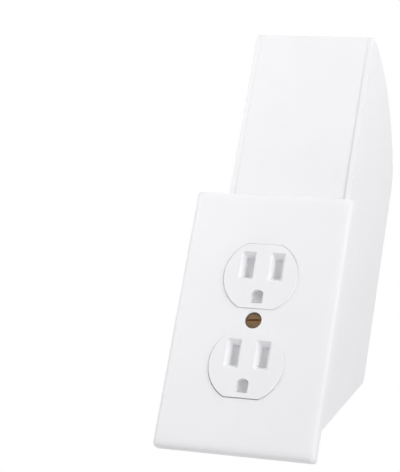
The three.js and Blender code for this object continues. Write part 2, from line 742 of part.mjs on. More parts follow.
// Lugs and ledges that carry the compartment floor, each on the length of wall that has no window.
function floorSupports() {
  const wallX = insideHalfWidth + HOUSING_WALL / 2;
  return floorScrewPlaces().flatMap(([x, z]) => {
    const outward = Math.sign(x);
    const xs = sorted(x - outward * lugEdge, outward * wallX);
    const lugFrontY = ledgeBackY - FLOOR_LUG_THICKNESS;
    const lug = box(xs[0], xs[1], lugFrontY, ledgeBackY, z - LUG_REACH / 2, z + LUG_REACH / 2);
    const ends = sorted(-outward * (windowNear + LEDGE), outward * (floorEndZ + LEDGE));
    const edge = sorted(outward * (insideHalfWidth - LEDGE), outward * wallX);
    const ledge = box(edge[0], edge[1], ledgeBackY - LEDGE, ledgeBackY, ends[0], ends[1]);
    return [lug, ledge];
  });
}

// A band between two depths behind the front of the pocket panel, from one height to another.
function bandBehindPanel(x0, x1, frontStep, backStep, z0, z1) {
  const shape = new THREE.Shape();
  shape.moveTo(panelY(z0) + frontStep, z0);
  shape.lineTo(panelY(z0) + backStep, z0);
  shape.lineTo(panelY(z1) + backStep, z1);
  shape.lineTo(panelY(z1) + frontStep, z1);
  return prismX(shape, x0, x1);
}

// Ribs on the side walls, which the pocket panel seats against.
function panelLedges() {
  const step = PANEL_THICKNESS + SEAT;
  return [1, -1].map((side) => {
    const x = sorted(side * (insideHalfWidth - LEDGE), side * (insideHalfWidth + HOUSING_WALL / 2));
    return bandBehindPanel(x[0], x[1], step, step + LEDGE, neckTop + LEDGE, insideTop - HOUSING_WALL);
  });
}

function housing() {
  const core = housingHalfWidth - HOUSING_SIDE_ROUND;
  const blank = prismX(housingOutline(), -core, core, {
    bevelEnabled: true,
    bevelThickness: HOUSING_SIDE_ROUND,
    bevelSize: HOUSING_SIDE_ROUND,
    bevelOffset: -HOUSING_SIDE_ROUND,
    bevelSegments: EDGE_STEPS,
  });
  const additions = [baseFlange(), sill(), ...plateLugs(), ...floorSupports(), ...panelLedges()];
  const body = joined([blank.subtract(housingHollow()), ...additions]);
  const holesAt = (places, y0, y1) =>
    places.map(([x, z]) => cylinder(smallHole, y0, y1, HOLE_STEPS).translate([x, 0, z]));
  const screwHoles = [
    ...holesAt(plateScrewPlaces(), plateLugY - PAST, plateLugY + LUG_THICKNESS + PAST),
    ...holesAt(floorScrewPlaces(), ledgeBackY - FLOOR_LUG_THICKNESS - PAST, floorY),
  ];
  return meshOf(without(body, [...windows(), ...screwHoles]), "housing_shell", plastic);
}

// Compartment floor: shuts the stored things off from the latch. It has a lip and a bead at the mouth.

function compartmentFloor() {
  const half = insideHalfWidth - SEAT;
  const lipEndZ = floorEndZ - FLOOR_THICKNESS;
  const plate = box(-half, half, floorY, floorBackY, floorEndZ, neckTop);
  const lip = box(-half, half, floorBackY - FLOOR_LIP, floorBackY, lipEndZ, floorEndZ);
  const riser = box(-half, half, panelSeatY + SEAT, floorBackY, neckInsideTop, neckTop);
  const beadSide = filleted([
    [floorY + FLOOR_THICKNESS / 2, lipEndZ, 0],
    [floorY + FLOOR_THICKNESS / 2, lipEndZ + FLOOR_BEAD_WIDTH, 0],
    [floorBackY, lipEndZ + FLOOR_BEAD_WIDTH, 0],
    [floorBackY + FLOOR_BEAD, lipEndZ + FLOOR_BEAD_WIDTH - FLOOR_BEAD, FLOOR_BEAD / 2],
    [floorBackY + FLOOR_BEAD, lipEndZ, FLOOR_BEAD / 2],
  ], 3);
  const bead = prismX(new THREE.Shape(beadSide), -half, half);
  const holes = floorScrewPlaces().map(([x, z]) =>
    cylinder(smallHole, floorY - PAST, floorBackY + PAST, HOLE_STEPS).translate([x, 0, z]),
  );
  return meshOf(without(joined([plate, lip, riser, bead]), holes), "compartment_floor", innerPlastic);
}

// Pocket front panel: stands between the side walls, closes the top at the front, and is stiffened behind.

function pocketPanel() {
  const half = insideHalfWidth - SEAT;
  const foot = neckTop + SEAT;
  const rimHalf = insideHalfWidth - LEDGE - SEAT;
  const rimStep = PANEL_THICKNESS + PANEL_RIM;
  const rimTop = hoodInsideZ(panelY(HOOD_TOP) + rimStep) - 2 * SEAT;
  const side = filleted([
    [panelY(foot), foot, 0],
    [panelY(foot) + PANEL_THICKNESS, foot, 0],
    [panelY(HOOD_TOP) + PANEL_THICKNESS, HOOD_TOP, 0],
    [panelY(HOOD_TOP), HOOD_TOP, PANEL_EDGE_RADIUS],
  ], 4);
  const sheet = prismX(new THREE.Shape(side), -half, half);
  const block = bandBehindPanel(-rimHalf, rimHalf, PANEL_THICKNESS / 2, rimStep, foot, rimTop);
  const hollow = bandBehindPanel(
    PANEL_RIM_WALL - rimHalf,
    rimHalf - PANEL_RIM_WALL,
    0,
    rimStep + PAST,
    foot + PANEL_RIM_WALL,
    rimTop - PANEL_RIM_WALL,
  );
  const ribs = Array.from({ length: PANEL_RIBS }, (_, i) => {
    const x = -rimHalf + (2 * rimHalf * (i + 1)) / (PANEL_RIBS + 1);
    const edge = PANEL_RIM_WALL / 2;
    return bandBehindPanel(x - edge, x + edge, PANEL_THICKNESS / 2, rimStep, foot, rimTop);
  });
  return meshOf(joined([block.subtract(hollow), sheet, ...ribs]), "pocket_front_panel", plastic);
}

// Small pan-head screws with a cross recess. Each points at the plate, its head towards the back.

function smallScrew(name, x, z, seatY, length) {
  const headY = seatY + SMALL_HEAD_HEIGHT;
  const blank = turned([
    [0, seatY - length],
    [SMALL_TIP_RADIUS, seatY - length],
    [SMALL_SHANK_RADIUS, seatY - length + SMALL_TIP],
    [SMALL_SHANK_RADIUS, seatY],
    [SMALL_HEAD_RADIUS, seatY],
    [SMALL_HEAD_RADIUS, headY - SMALL_HEAD_DOME],
    [SMALL_HEAD_RADIUS - SMALL_HEAD_DOME, headY],
    [0, headY],
  ], SMALL_STEPS);
  const long = SMALL_RECESS_LENGTH / 2;
  const wide = SMALL_RECESS_WIDTH / 2;
  const cross = box(-long, long, headY - SMALL_RECESS_DEPTH, headY + PAST, -wide, wide).add(
    box(-wide, wide, headY - SMALL_RECESS_DEPTH, headY + PAST, -long, long),
  );
  return meshOf(blank.subtract(cross).translate([x, 0, z]), name, steel);
}

function smallScrews() {
  const plateSeat = plateLugY + LUG_THICKNESS + SEAT;
  const floorSeat = floorBackY + SEAT;
  const screws = (name, places, seatY, length) =>
    places.map(([x, z], i) => smallScrew(`${name}_${i + 1}`, x, z, seatY, length));
  return [
    ...screws("plate_screw", plateScrewPlaces(), plateSeat, PLATE_SCREW_LENGTH),
    ...screws("floor_screw", floorScrewPlaces(), floorSeat, FLOOR_SCREW_LENGTH),
  ];
}

const safe = new THREE.Group();
safe.name = "outlet_diversion_safe";

const body = new THREE.Group();
body.name = "safe_body";
body.add(
  facePlate(),
  receptacle("receptacle_upper", 1),
  receptacle("receptacle_lower", -1),
  housing(),
  pocketPanel(),
  compartmentFloor(),
  ...smallScrews(),
);

const latch = new THREE.Group();
latch.name = "latch";
latch.add(lockScrew(), waveWasher(), latchBar(), latchNut());

safe.add(body, latch);

export default safe;
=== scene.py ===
# A wall safe that passes for a duplex electrical outlet, seen from its front and a little from below.
# Metres, x to the right, y into the wall, z up. The origin is the middle of the cover plate, at its back rim.

import math

import bmesh
import bpy
from mathutils import Matrix, Vector


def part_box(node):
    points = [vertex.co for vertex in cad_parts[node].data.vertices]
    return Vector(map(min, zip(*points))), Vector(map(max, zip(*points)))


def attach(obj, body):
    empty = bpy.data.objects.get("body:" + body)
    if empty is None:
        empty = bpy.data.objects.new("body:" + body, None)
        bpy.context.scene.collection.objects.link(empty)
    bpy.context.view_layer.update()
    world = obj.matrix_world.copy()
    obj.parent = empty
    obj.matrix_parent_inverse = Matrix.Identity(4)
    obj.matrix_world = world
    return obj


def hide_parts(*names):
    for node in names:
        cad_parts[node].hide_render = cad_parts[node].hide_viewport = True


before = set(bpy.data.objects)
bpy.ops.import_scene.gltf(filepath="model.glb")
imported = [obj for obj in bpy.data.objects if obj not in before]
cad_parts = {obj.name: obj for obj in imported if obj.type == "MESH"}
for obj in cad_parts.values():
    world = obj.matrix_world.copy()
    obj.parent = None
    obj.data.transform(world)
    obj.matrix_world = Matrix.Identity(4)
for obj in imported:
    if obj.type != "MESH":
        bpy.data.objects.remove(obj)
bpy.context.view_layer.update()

MM = 0.001


# Camera: fitted to the photograph, which is 400 by 472 pixels

PICTURE_HEIGHT = 472
FOCAL_PIXELS = 1752.8
PRINCIPAL_RIGHT = 17.4  # pixels from the middle of the picture to the camera's axis
PRINCIPAL_UP = 15.7
SENSOR = 36
CAMERA_PLACE = Vector((217.86, -677.5, -205.31)) * MM
CAMERA_RIGHT = Vector((0.94607, 0.27848, 0.16551))
CAMERA_UP = Vector((-0.05541, -0.36428, 0.92964))


def add_camera():
    camera = bpy.data.objects.new("camera", bpy.data.cameras.new("camera"))
    bpy.context.scene.collection.objects.link(camera)
    back = CAMERA_RIGHT.cross(CAMERA_UP)
    axes = Matrix((CAMERA_RIGHT, CAMERA_UP, back)).transposed()
    camera.matrix_world = Matrix.Translation(CAMERA_PLACE) @ axes.to_4x4()
    camera.data.sensor_width = SENSOR
    camera.data.lens = SENSOR * FOCAL_PIXELS / PICTURE_HEIGHT
    camera.data.shift_x = -PRINCIPAL_RIGHT / PICTURE_HEIGHT
    camera.data.shift_y = -PRINCIPAL_UP / PICTURE_HEIGHT
    camera.data.clip_start = 0.01
    bpy.context.scene.camera = camera


# Sizes in millimetres, as in the solid model unless a comment says otherwise

PLATE_HALF = (34.925, 57.15)  # across and up
PLATE_FACE = -5.5
PLATE_WALL = 2.2
PLATE_INSIDE = PLATE_FACE + PLATE_WALL
PLATE_CORNER = 1.5
PLATE_CORNER_GROWTH = 0.4
PLATE_ROLL = (5, 2.9)  # across and back; narrower than in the solid model, 7
PLATE_ROLL_POWER = 3.4
PLATE_ROLL_STEPS = 22
PLATE_RIM_EDGE = 0.2
RECESS_CORNER = 0.7

OUTLET_RISE = 19.6  # from the screw to the middle of an outlet
OUTLET_RADIUS = 16.2
OUTLET_HALF_HEIGHT = 14.3
OUTLET_FACE = -6.1
OUTLET_EDGE = 0.15
OUTLET_GAP = 0.16  # the real gap is narrower than the solid model's
OUTLET_SHIFT = 0.13  # the inserts sit a little to the right in their openings
OUTLET_LIFT = (-0.13, 0.07)  # the upper one sits a little low, and the lower one a little high
OUTLET_LIP = 0.2
LIP_STEPS = 4
OPENING_EDGE = 0.1
OUTLET_SKIN = 2
OUTLET_FLANGE = (-3, -1.2)  # its front and back
OUTLET_FLANGE_REACH = 1.85
BLADE_MOUTH = (3.2, 6.2, 0.7)  # half width, half height and corner; narrower than in the solid model, 3.6
BLADE_MOUTH_PLACE = 6.5  # nearer the middle than in the solid model, 6.8
BLADE_THROAT = (1.7, 4.4)
BLADE_PLACE = 6.35
BLADE_RISE = 4.5
BLADE_FUNNEL = 3  # this depth and the next two are less than in the solid model
SLOT_DEPTH = 4.2
GROUND_DEPTH = 3.5
SLOT_WALL = 1.2
CUP_FRONT = OUTLET_FACE + 1
CUP_BACK = OUTLET_FACE + SLOT_DEPTH + SLOT_WALL
CUP_INSET = 0.4
CUP_REACH = 10
GROUND_HALF_WIDTH = 2.55
GROUND_HALF_HEIGHT = 3
GROUND_ARCH = 2
GROUND_DROP = 9.1

HEAD_RADIUS = 3.55  # smaller than in the solid model, 3.7
HEAD_RIM = -4.7
HEAD_CROWN = 0.8
HEAD_LAND = 0.5
HEAD_GAP = 0.08
HEAD_EDGE = 0.12
CROWN_STEPS = 12
SCREW_SLOT_HALF_WIDTH = 0.4
SCREW_SLOT_DEPTH = 1.1
SCREW_SLOT_TURN = 5  # degrees: the slot stands a little off level
SCREW_HOLE_EDGE = 0.5
SHANK = 2
SHANK_TIP = 0.6
SHANK_HOLE = 2.3
SHANK_END = 20.3
BOSS_RADIUS = 4.6
BOSS_END = 12
BOSS_CHAMFER = 0.4
RIB_REACH = 12
RIB_END = 7
RIB_HALF_WIDTH = 0.75
RIB_TAPER = 0.3

# A pan head with its seat at 0 and its shank in front of it, each ring a radius and a place along y
SMALL_SCREW = [(0.6, -6.5), (1.5, -5.3), (1.5, 0), (2.8, 0), (2.8, 1.1), (2.65, 1.5), (2.25, 1.8), (1.6, 1.9)]
SMALL_TIP = -4  # the rings before this place are the tip
SMALL_HEAD_HEIGHT = 1.9
SMALL_HOLE = 1.8
CROSS_HALF_LENGTH = 1.7
CROSS_HALF_WIDTH = 0.4
CROSS_BOTTOM = 0.9
PLATE_SCREWS = [f"plate_screw_{i}" for i in range(1, 5)]
FLOOR_SCREWS = ["floor_screw_1", "floor_screw_2"]
FLOOR_SCREW_SHORTER = 1.5
PLATE_BOSS_END = 2.7
PLATE_BOSS_CHAMFER = 0.3

SEAT = 0.3  # the room between two pieces that seat against each other
WALL = 2
HOUSING_HALF = 27.525
INSIDE_HALF = HOUSING_HALF - WALL
WALL_MIDDLE = INSIDE_HALF + WALL / 2
DEPTH = 88
NECK_TOP = 48.3
NECK_FOOT = -50.3
MOUTH_FOOT = (6.2, 14)  # the place along y where the slant starts, and the radius of its corner
MOUTH_BACK = (2.9, 4)  # the height where the slant meets the back, and the radius of its corner
HOOD_FRONT = 15
HOOD_TOP = 143.6
HOOD_ARC = 88
HOOD_CORNER = 15
HOOD_NOSE = 0.8
HOOD_STEPS = 56
CORNER_STEPS = 12
NOSE_STEPS = 10
HEEL_STEPS = 8
SIDE_ROUND = 1.1
FRONT_ROUND = 0.5
BASE_FRONT = -3
BASE_FLANGE_INSET = 4.4
BASE_FLANGE_CORNER = 2
SILL = (-48.5, -46.9)  # its underside and its top
SILL_MIDDLE = -47.7
SILL_BACK = 9
WINDOW_ENDS = (8.5, 35.33)  # how far a window reaches from the level of the screw, the short way and the long way
WINDOW_FRONT = 2
WINDOW_CORNER = 0.8
LUG_EDGE = 3.7  # from the middle of a small screw to the edge of its lug, and the radius of its boss
PLATE_LUG = (3, 5)  # its front and back
FLOOR_LUG_DEPTH = 4
FLOOR_LUG_REACH = 5
LEDGE = 1.6
LEDGE_ENDS = (10.1, 34.5)
PANEL_RECESS = (0.65, 0.25)  # at its foot and its top; the solid model sets the foot deeper, 2.4
PANEL_THICKNESS = 2
PANEL_BITE = 0.25  # the panel is pressed into the walls, so that its seam is a fine line, as on the real one
PANEL_EDGE = 0.5
PANEL_RIM = 3
PANEL_RIM_HALF_WIDTH = 0.75
PANEL_RIM_BITE = 0.5
PANEL_TOP_GAP = 0.9

BAR_FRONT = 13.6
BAR_HALF_LENGTH = 40.025
BAR_HALF_WIDTH = 6
BAR_THICKNESS = 2
BAR_FLANGE = 1.8
BAR_FLANGE_WALL = 1.4
BAR_FLANGE_HALF = 31.025
NUT_FRONT = 15.9
NUT_THICKNESS = 3.2
NUT_HALF_FLATS = 3.5
NUT_CHAMFER = (0.5, 0.35)  # inwards and along the nut
WASHER_RADIUS = 5
WASHER_THICKNESS = 0.5
WASHER_WAVE = 0.5
WASHER_CREST = 0.8  # half the height of the strip that rises by the whole wave
WASHER_WAVE_REACH = 4
FLOOR_FRONT = 22.6
FLOOR_BACK = 24.6
FLOOR_SEAT = FLOOR_FRONT - SEAT
FLOOR_LIP = 4.6
FLOOR_LIP_THICKNESS = 2
FLOOR_BEAD = 1.2
FLOOR_BEAD_WIDTH = 5
FLOOR_BEAD_ROUND = 1.1

PAST = 1  # how far a cut goes on beyond what it cuts
HAIR = 0.01  # far less than any size, for what must stay just short of a place or reach just over it
NEAR = 0.0005  # places closer than this are the same

# Corners of the round outlines
OUTLET_STEPS = 160
FINE_STEPS = 96
BOSS_STEPS = 64
ROUND_STEPS = 48
PLATE_BOSS_STEPS = 40
HOLE_STEPS = 32


# Modelling helpers. A piece is modelled in millimetres, and settle() brings it to metres.


def grab(piece):
    bpy.ops.object.select_all(action="DESELECT")
    bpy.context.view_layer.objects.active = piece
    piece.select_set(True)


def named(name, scale=(1, 1, 1)):
    """Names and scales the primitive just added, with its place and size then in its mesh."""
    piece = bpy.context.object
    piece.name = name
    piece.scale = scale
    grab(piece)
    bpy.ops.object.transform_apply(location=True, rotation=True, scale=True)
    return piece


def shape(piece):
    grab(piece)
    bpy.ops.object.mode_set(mode="EDIT")


def shaped():
    bpy.ops.object.mode_set(mode="OBJECT")


def pick(piece, kind, test, facing=None):
    """Selects the VERT, EDGE or FACE elements whose corners all pass a test, and that face a way if it is given."""
    bpy.ops.mesh.select_mode(type=kind)
    bpy.ops.mesh.select_all(action="DESELECT")
    mesh = bmesh.from_edit_mesh(piece.data)
    for element in {"VERT": mesh.verts, "EDGE": mesh.edges, "FACE": mesh.faces}[kind]:
        corners = [element] if kind == "VERT" else element.verts
        if facing and element.normal.dot(Vector(facing)) < 0.99:
            continue
        if all(test(corner.co) for corner in corners):
            element.select_set(True)
    bmesh.update_edit_mesh(piece.data)


def near(a, b):
    return abs(a - b) < NEAR


def pick_along(piece, way):
    """Selects the edges that run along a direction."""
    bpy.ops.mesh.select_mode(type="EDGE")
    bpy.ops.mesh.select_all(action="DESELECT")
    mesh = bmesh.from_edit_mesh(piece.data)
    for edge in mesh.edges:
        along = (edge.verts[0].co - edge.verts[1].co).normalized()
        if abs(along.dot(Vector(way))) > 0.9:
            edge.select_set(True)
    bmesh.update_edit_mesh(piece.data)


def block(name, x, y, z):
    """A box between two places on each axis."""
    low, high = Vector((x[0], y[0], z[0])), Vector((x[1], y[1], z[1]))
    bpy.ops.mesh.primitive_cube_add(size=1, location=(low + high) / 2)
    return named(name, high - low)


def rounded_sheet(name, half_width, half_height, corner, y):
    """A flat sheet with round corners that faces the front."""
    bpy.ops.mesh.primitive_plane_add(size=2, location=(0, y, 0), rotation=(math.pi / 2, 0, 0))
    piece = named(name, (half_width, half_height, 1))
    shape(piece)
    bpy.ops.mesh.select_all(action="SELECT")
    bpy.ops.mesh.bevel(offset=corner, segments=8, affect="VERTICES")
    shaped()
    return piece


def turn_faces_out():
    bpy.ops.mesh.select_all(action="SELECT")
    bpy.ops.mesh.normals_make_consistent(inside=False)


def draw_back(distance, scale=(1, 1), shift=0):
    """Extrudes what is selected along y, scales its new end in x and z, and shifts it along x."""
    bpy.ops.mesh.extrude_region_move(TRANSFORM_OT_translate={"value": (shift, distance, 0)})
    bpy.ops.transform.resize(value=(scale[0], 1, scale[1]))


def turned(name, rings, steps):
    """A turned solid about the y axis: a disc drawn back from ring to ring, each a radius and a place along y."""
    radius, y = rings[0]
    quarter = math.pi / 2
    bpy.ops.mesh.primitive_circle_add(
        vertices=steps, radius=radius, fill_type="NGON", location=(0, y, 0), rotation=(quarter, 0, 0)
    )
    piece = named(name)
    shape(piece)
    bpy.ops.mesh.select_all(action="SELECT")
    for next_radius, next_y in rings[1:]:
        scale = next_radius / radius
        draw_back(next_y - y, (scale, scale))
        radius, y = next_radius, next_y
    turn_faces_out()
    shaped()
    return piece


def flatted_disc(name, radius, half_height, front, back):
    """A disc cut flat above and below, the outline of an outlet."""
    piece = turned(name, [(radius, front), (radius, back)], OUTLET_STEPS)
    shape(piece)
    for side in (-1, 1):
        bpy.ops.mesh.select_all(action="SELECT")
        bpy.ops.mesh.bisect(
            plane_co=(0, 0, side * half_height), plane_no=(0, 0, side), use_fill=True, clear_outer=True
        )
    shaped()
    return piece


def move(piece, x=0, y=0, z=0):
    grab(piece)
    piece.location = (x, y, z)
    bpy.ops.object.transform_apply(location=True, rotation=True, scale=True)
    return piece


def copied(piece, name):
    twin = piece.copy()
    twin.data = piece.data.copy()
    twin.name = name
    bpy.context.scene.collection.objects.link(twin)
    return twin


def combine(piece, tools, operation="DIFFERENCE"):
    """Cuts tools out of a piece, or joins them on, and clears them away."""
    for tool in tools:
        modifier = piece.modifiers.new("combine", "BOOLEAN")
        modifier.operation = operation
        modifier.solver = "MANIFOLD"
        modifier.object = tool
        grab(piece)
        bpy.ops.object.modifier_apply(modifier="combine")
        bpy.data.objects.remove(tool)
    return piece


def soften(piece, test, width, segments=3):
    """Bevels the edges whose ends pass a test."""
    shape(piece)
    pick(piece, "EDGE", test)
    bpy.ops.mesh.bevel(offset=width, segments=segments, affect="EDGES", clamp_overlap=True)
    shaped()


def soften_corners(piece, width, angle=50, segments=2):
    """Bevels every edge sharper than an angle."""
    modifier = piece.modifiers.new("soften", "BEVEL")
    modifier.width = width
    modifier.segments = segments
    modifier.limit_method = "ANGLE"
    modifier.angle_limit = math.radians(angle)
    modifier.miter_outer = "MITER_ARC"
    grab(piece)
    bpy.ops.object.modifier_apply(modifier="soften")


def settle(piece, node, body, material, angle=35):
    """Brings a finished piece to metres and puts it in the place of its solid."""
    grab(piece)
    piece.name = "visual_" + node
    piece.scale = (MM, MM, MM)
    bpy.ops.object.transform_apply(location=True, rotation=True, scale=True)
    bpy.ops.object.shade_smooth_by_angle(angle=math.radians(angle))
    flat = piece.modifiers.new("flat_faces", "WEIGHTED_NORMAL")
    flat.weight = 100
    flat.keep_sharp = True
    bpy.ops.object.modifier_apply(modifier="flat_faces")
    piece.data.materials.clear()
    piece.data.materials.append(material)
    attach(piece, body)
    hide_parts(node)


# Cover plate


def step_corners(piece, y, inset, step, radius_scale):
    """Moves the four corners of the ring at y in from the sides, and makes each a little rounder."""
    for side in (-1, 1):
        for up in (-1, 1):
            pick(piece, "VERT", lambda p: near(p.y, y) and p.x * side > 0 and p.z * up > 0)
            bpy.ops.transform.translate(value=(-side * step, 0, -up * step))
            corner = (side * (PLATE_HALF[0] - inset), y, up * (PLATE_HALF[1] - inset))
            bpy.ops.transform.resize(value=(radius_scale, 1, radius_scale), center_override=corner)


def plate_blank():
    """The front rolls back to the sides along a superellipse, so it is nearly flat in the middle."""
    piece = rounded_sheet("face_plate", *PLATE_HALF, PLATE_CORNER, 0)
    shape(piece)
    bpy.ops.mesh.select_all(action="SELECT")
    roll_start = PLATE_FACE + PLATE_ROLL[1]
    draw_back(roll_start)
    y, inset, radius = roll_start, 0, PLATE_CORNER
    for step in range(1, PLATE_ROLL_STEPS + 1):
        angle = math.pi / 2 * step / PLATE_ROLL_STEPS
        next_inset = PLATE_ROLL[0] * (1 - math.cos(angle) ** (2 / PLATE_ROLL_POWER))
        next_y = roll_start - PLATE_ROLL[1] * math.sin(angle) ** (2 / PLATE_ROLL_POWER)
        next_radius = PLATE_CORNER + PLATE_CORNER_GROWTH * next_inset
        pick(piece, "FACE", lambda p: near(p.y, y), (0, -1, 0))
        draw_back(next_y - y)
        step_corners(piece, next_y, next_inset, next_inset - inset, next_radius / radius)
        y, inset, radius = next_y, next_inset, next_radius
    turn_faces_out()
    shaped()
    return piece


def node_middle(node):
    low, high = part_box(node)
    return (low + high) / 2 / MM


def chamfered_boss(radius, end, chamfer, steps):
    """A post that stands on the inside of the plate's face."""
    return turned("boss", [(radius, PLATE_INSIDE - PAST), (radius, end - chamfer), (radius - chamfer, end)], steps)


def plate_bosses():
    boss = chamfered_boss(LUG_EDGE, PLATE_BOSS_END, PLATE_BOSS_CHAMFER, PLATE_BOSS_STEPS)
    pilot = [(SMALL_HOLE, PLATE_INSIDE), (SMALL_HOLE, PLATE_BOSS_END + PAST)]
    combine(boss, [turned("pilot", pilot, HOLE_STEPS)])
    places = [node_middle(node) for node in PLATE_SCREWS]
    bosses = [move(copied(boss, "boss"), place.x, 0, place.z) for place in places]
    bpy.data.objects.remove(boss)
    return bosses


def boss_ribs():
    """A low web that tapers away on each side of the screw boss."""
    width = (-RIB_HALF_WIDTH, RIB_HALF_WIDTH)
    rib = block("rib", (-RIB_REACH, RIB_REACH), (PLATE_INSIDE - PAST, RIB_END), width)
    shape(rib)
    pick(rib, "VERT", lambda p: near(p.y, RIB_END))
    bpy.ops.transform.resize(value=(RIB_TAPER, 1, 1), center_override=(0, RIB_END, 0))
    shaped()
    return rib


def outlet_opening(rise):
    radius, half_height = OUTLET_RADIUS + OUTLET_GAP, OUTLET_HALF_HEIGHT + OUTLET_GAP
    cut = flatted_disc("opening", radius, half_height, PLATE_FACE - PAST, PLATE_INSIDE + PAST)
    return move(cut, 0, 0, rise)


def face_plate(material):
    plate = plate_blank()
    x, z = PLATE_HALF[0] - PLATE_WALL, PLATE_HALF[1] - PLATE_WALL
    recess = block("recess", (-x, x), (PLATE_INSIDE, PAST), (-z, z))
    soften(recess, lambda p: True, RECESS_CORNER)
    combine(plate, [recess])
    screw_boss = chamfered_boss(BOSS_RADIUS, BOSS_END, BOSS_CHAMFER, BOSS_STEPS)
    combine(plate, [screw_boss, boss_ribs(), *plate_bosses()], "UNION")
    combine(plate, [outlet_opening(OUTLET_RISE), outlet_opening(-OUTLET_RISE)])
    seat = HEAD_RADIUS + HEAD_GAP
    cone = HEAD_RIM + HEAD_LAND + HEAD_GAP
    front = [(seat, PLATE_FACE - PAST), (seat, cone)]
    back = [(SHANK_HOLE, cone + seat - SHANK_HOLE), (SHANK_HOLE, BOSS_END + PAST)]
    combine(plate, [turned("screw_hole", front + back, FINE_STEPS)])

    def at_opening(p):
        middle = math.copysign(OUTLET_RISE, p.z)
        return near(p.y, PLATE_FACE) and math.hypot(p.x, p.z - middle) < OUTLET_RADIUS + PAST

    def at_screw_hole(p):
        return near(p.y, PLATE_FACE) and math.hypot(p.x, p.z) < seat + HAIR

    soften(plate, at_opening, OPENING_EDGE)
    soften(plate, at_screw_hole, SCREW_HOLE_EDGE, segments=5)
    soften(plate, lambda p: near(p.y, 0), PLATE_RIM_EDGE, segments=2)
    settle(plate, "face_plate", "safe", material)


# Outlets


def blade_funnel(side):
    """A mouth with a round lip, which narrows back to a straight slot."""
    tool = rounded_sheet("funnel", *(size + OUTLET_LIP for size in BLADE_MOUTH), OUTLET_FACE - PAST)
    shape(tool)
    bpy.ops.mesh.select_all(action="SELECT")
    draw_back(PAST)
    spread, depth = OUTLET_LIP, 0
    for step in range(1, LIP_STEPS + 1):
        angle = math.pi / 2 * step / LIP_STEPS
        next_spread, next_depth = OUTLET_LIP * (1 - math.sin(angle)), OUTLET_LIP * (1 - math.cos(angle))
        draw_back(next_depth - depth, [(half + next_spread) / (half + spread) for half in BLADE_MOUTH[:2]])
        spread, depth = next_spread, next_depth
    narrower = (BLADE_THROAT[0] / BLADE_MOUTH[0], BLADE_THROAT[1] / BLADE_MOUTH[1])
    draw_back(BLADE_FUNNEL - depth, narrower, side * (BLADE_PLACE - BLADE_MOUTH_PLACE))
    draw_back(SLOT_DEPTH - BLADE_FUNNEL)
    turn_faces_out()
    shaped()
    return move(tool, side * BLADE_MOUTH_PLACE, 0, BLADE_RISE)


def ground_shape(name, wall, front, back):
    """The D-shaped ground hole, with a low arch above, or the wall round it."""
    spring = GROUND_HALF_HEIGHT - GROUND_ARCH
    half = GROUND_HALF_WIDTH + wall
    arch = turned(name, [(half, front), (half, back)], ROUND_STEPS)
    arch.scale = (1, 1, (GROUND_ARCH + wall) / half)
    move(arch, 0, 0, spring)
    foot = block("foot", (-half, half), (front, back), (-GROUND_HALF_HEIGHT - wall, spring))
    return move(combine(arch, [foot], "UNION"), 0, 0, -GROUND_DROP)


def blade_cup(side):
    """The wall round a funnel and its slot, behind the face."""

    def around(place, hole, back):
        x = (side * place - hole[0] - SLOT_WALL, side * place + hole[0] + SLOT_WALL)
        z = (BLADE_RISE - hole[1] - SLOT_WALL, BLADE_RISE + hole[1] + SLOT_WALL)
        return block("cup", x, (CUP_FRONT, back), z)

    collar = around(BLADE_MOUTH_PLACE, BLADE_MOUTH, OUTLET_FACE + BLADE_FUNNEL)
    box = around(BLADE_PLACE, BLADE_THROAT, CUP_BACK)
    return combine(collar, [box], "UNION")


def outlet():
    """One outlet about the middle of its own face."""
    back = OUTLET_FLANGE[1]

    def inset_disc(name, inset, front, end):
        return flatted_disc(name, OUTLET_RADIUS - inset, OUTLET_HALF_HEIGHT - inset, front, end)

    body = inset_disc("outlet", 0, OUTLET_FACE, back)
    soften(body, lambda p: near(p.y, OUTLET_FACE), OUTLET_EDGE, segments=4)
    reach = OUTLET_RADIUS + OUTLET_FLANGE_REACH
    combine(body, [flatted_disc("flange", reach, OUTLET_HALF_HEIGHT, *OUTLET_FLANGE)], "UNION")
    combine(body, [inset_disc("hollow", OUTLET_SKIN, OUTLET_FACE + OUTLET_SKIN, back + PAST)])
    cups = [blade_cup(1), blade_cup(-1), ground_shape("cup", SLOT_WALL, CUP_FRONT, CUP_BACK)]
    limit = inset_disc("limit", CUP_INSET, OUTLET_FACE, back + CUP_REACH)
    inner = combine(cups[0], cups[1:], "UNION")
    combine(inner, [limit], "INTERSECT")
    combine(body, [inner], "UNION")
    ground = ground_shape("ground", 0, OUTLET_FACE - PAST, OUTLET_FACE + GROUND_DEPTH)
    combine(body, [blade_funnel(1), blade_funnel(-1), ground])

    def at_ground(p):
        middle = abs(p.x) < GROUND_HALF_WIDTH + HAIR
        height = PAST - OUTLET_HALF_HEIGHT < p.z < GROUND_HALF_HEIGHT - GROUND_DROP + HAIR
        return near(p.y, OUTLET_FACE) and middle and height

    soften(body, at_ground, OUTLET_LIP, segments=LIP_STEPS)
    return body


def outlets(material):
    first = outlet()
    for name, rise, lift in zip(("receptacle_upper", "receptacle_lower"), (OUTLET_RISE, -OUTLET_RISE), OUTLET_LIFT):
        piece = move(copied(first, name), OUTLET_SHIFT, 0, rise + lift)
        settle(piece, name, "safe", material)
    bpy.data.objects.remove(first)


# Screws, washer, bar and nut


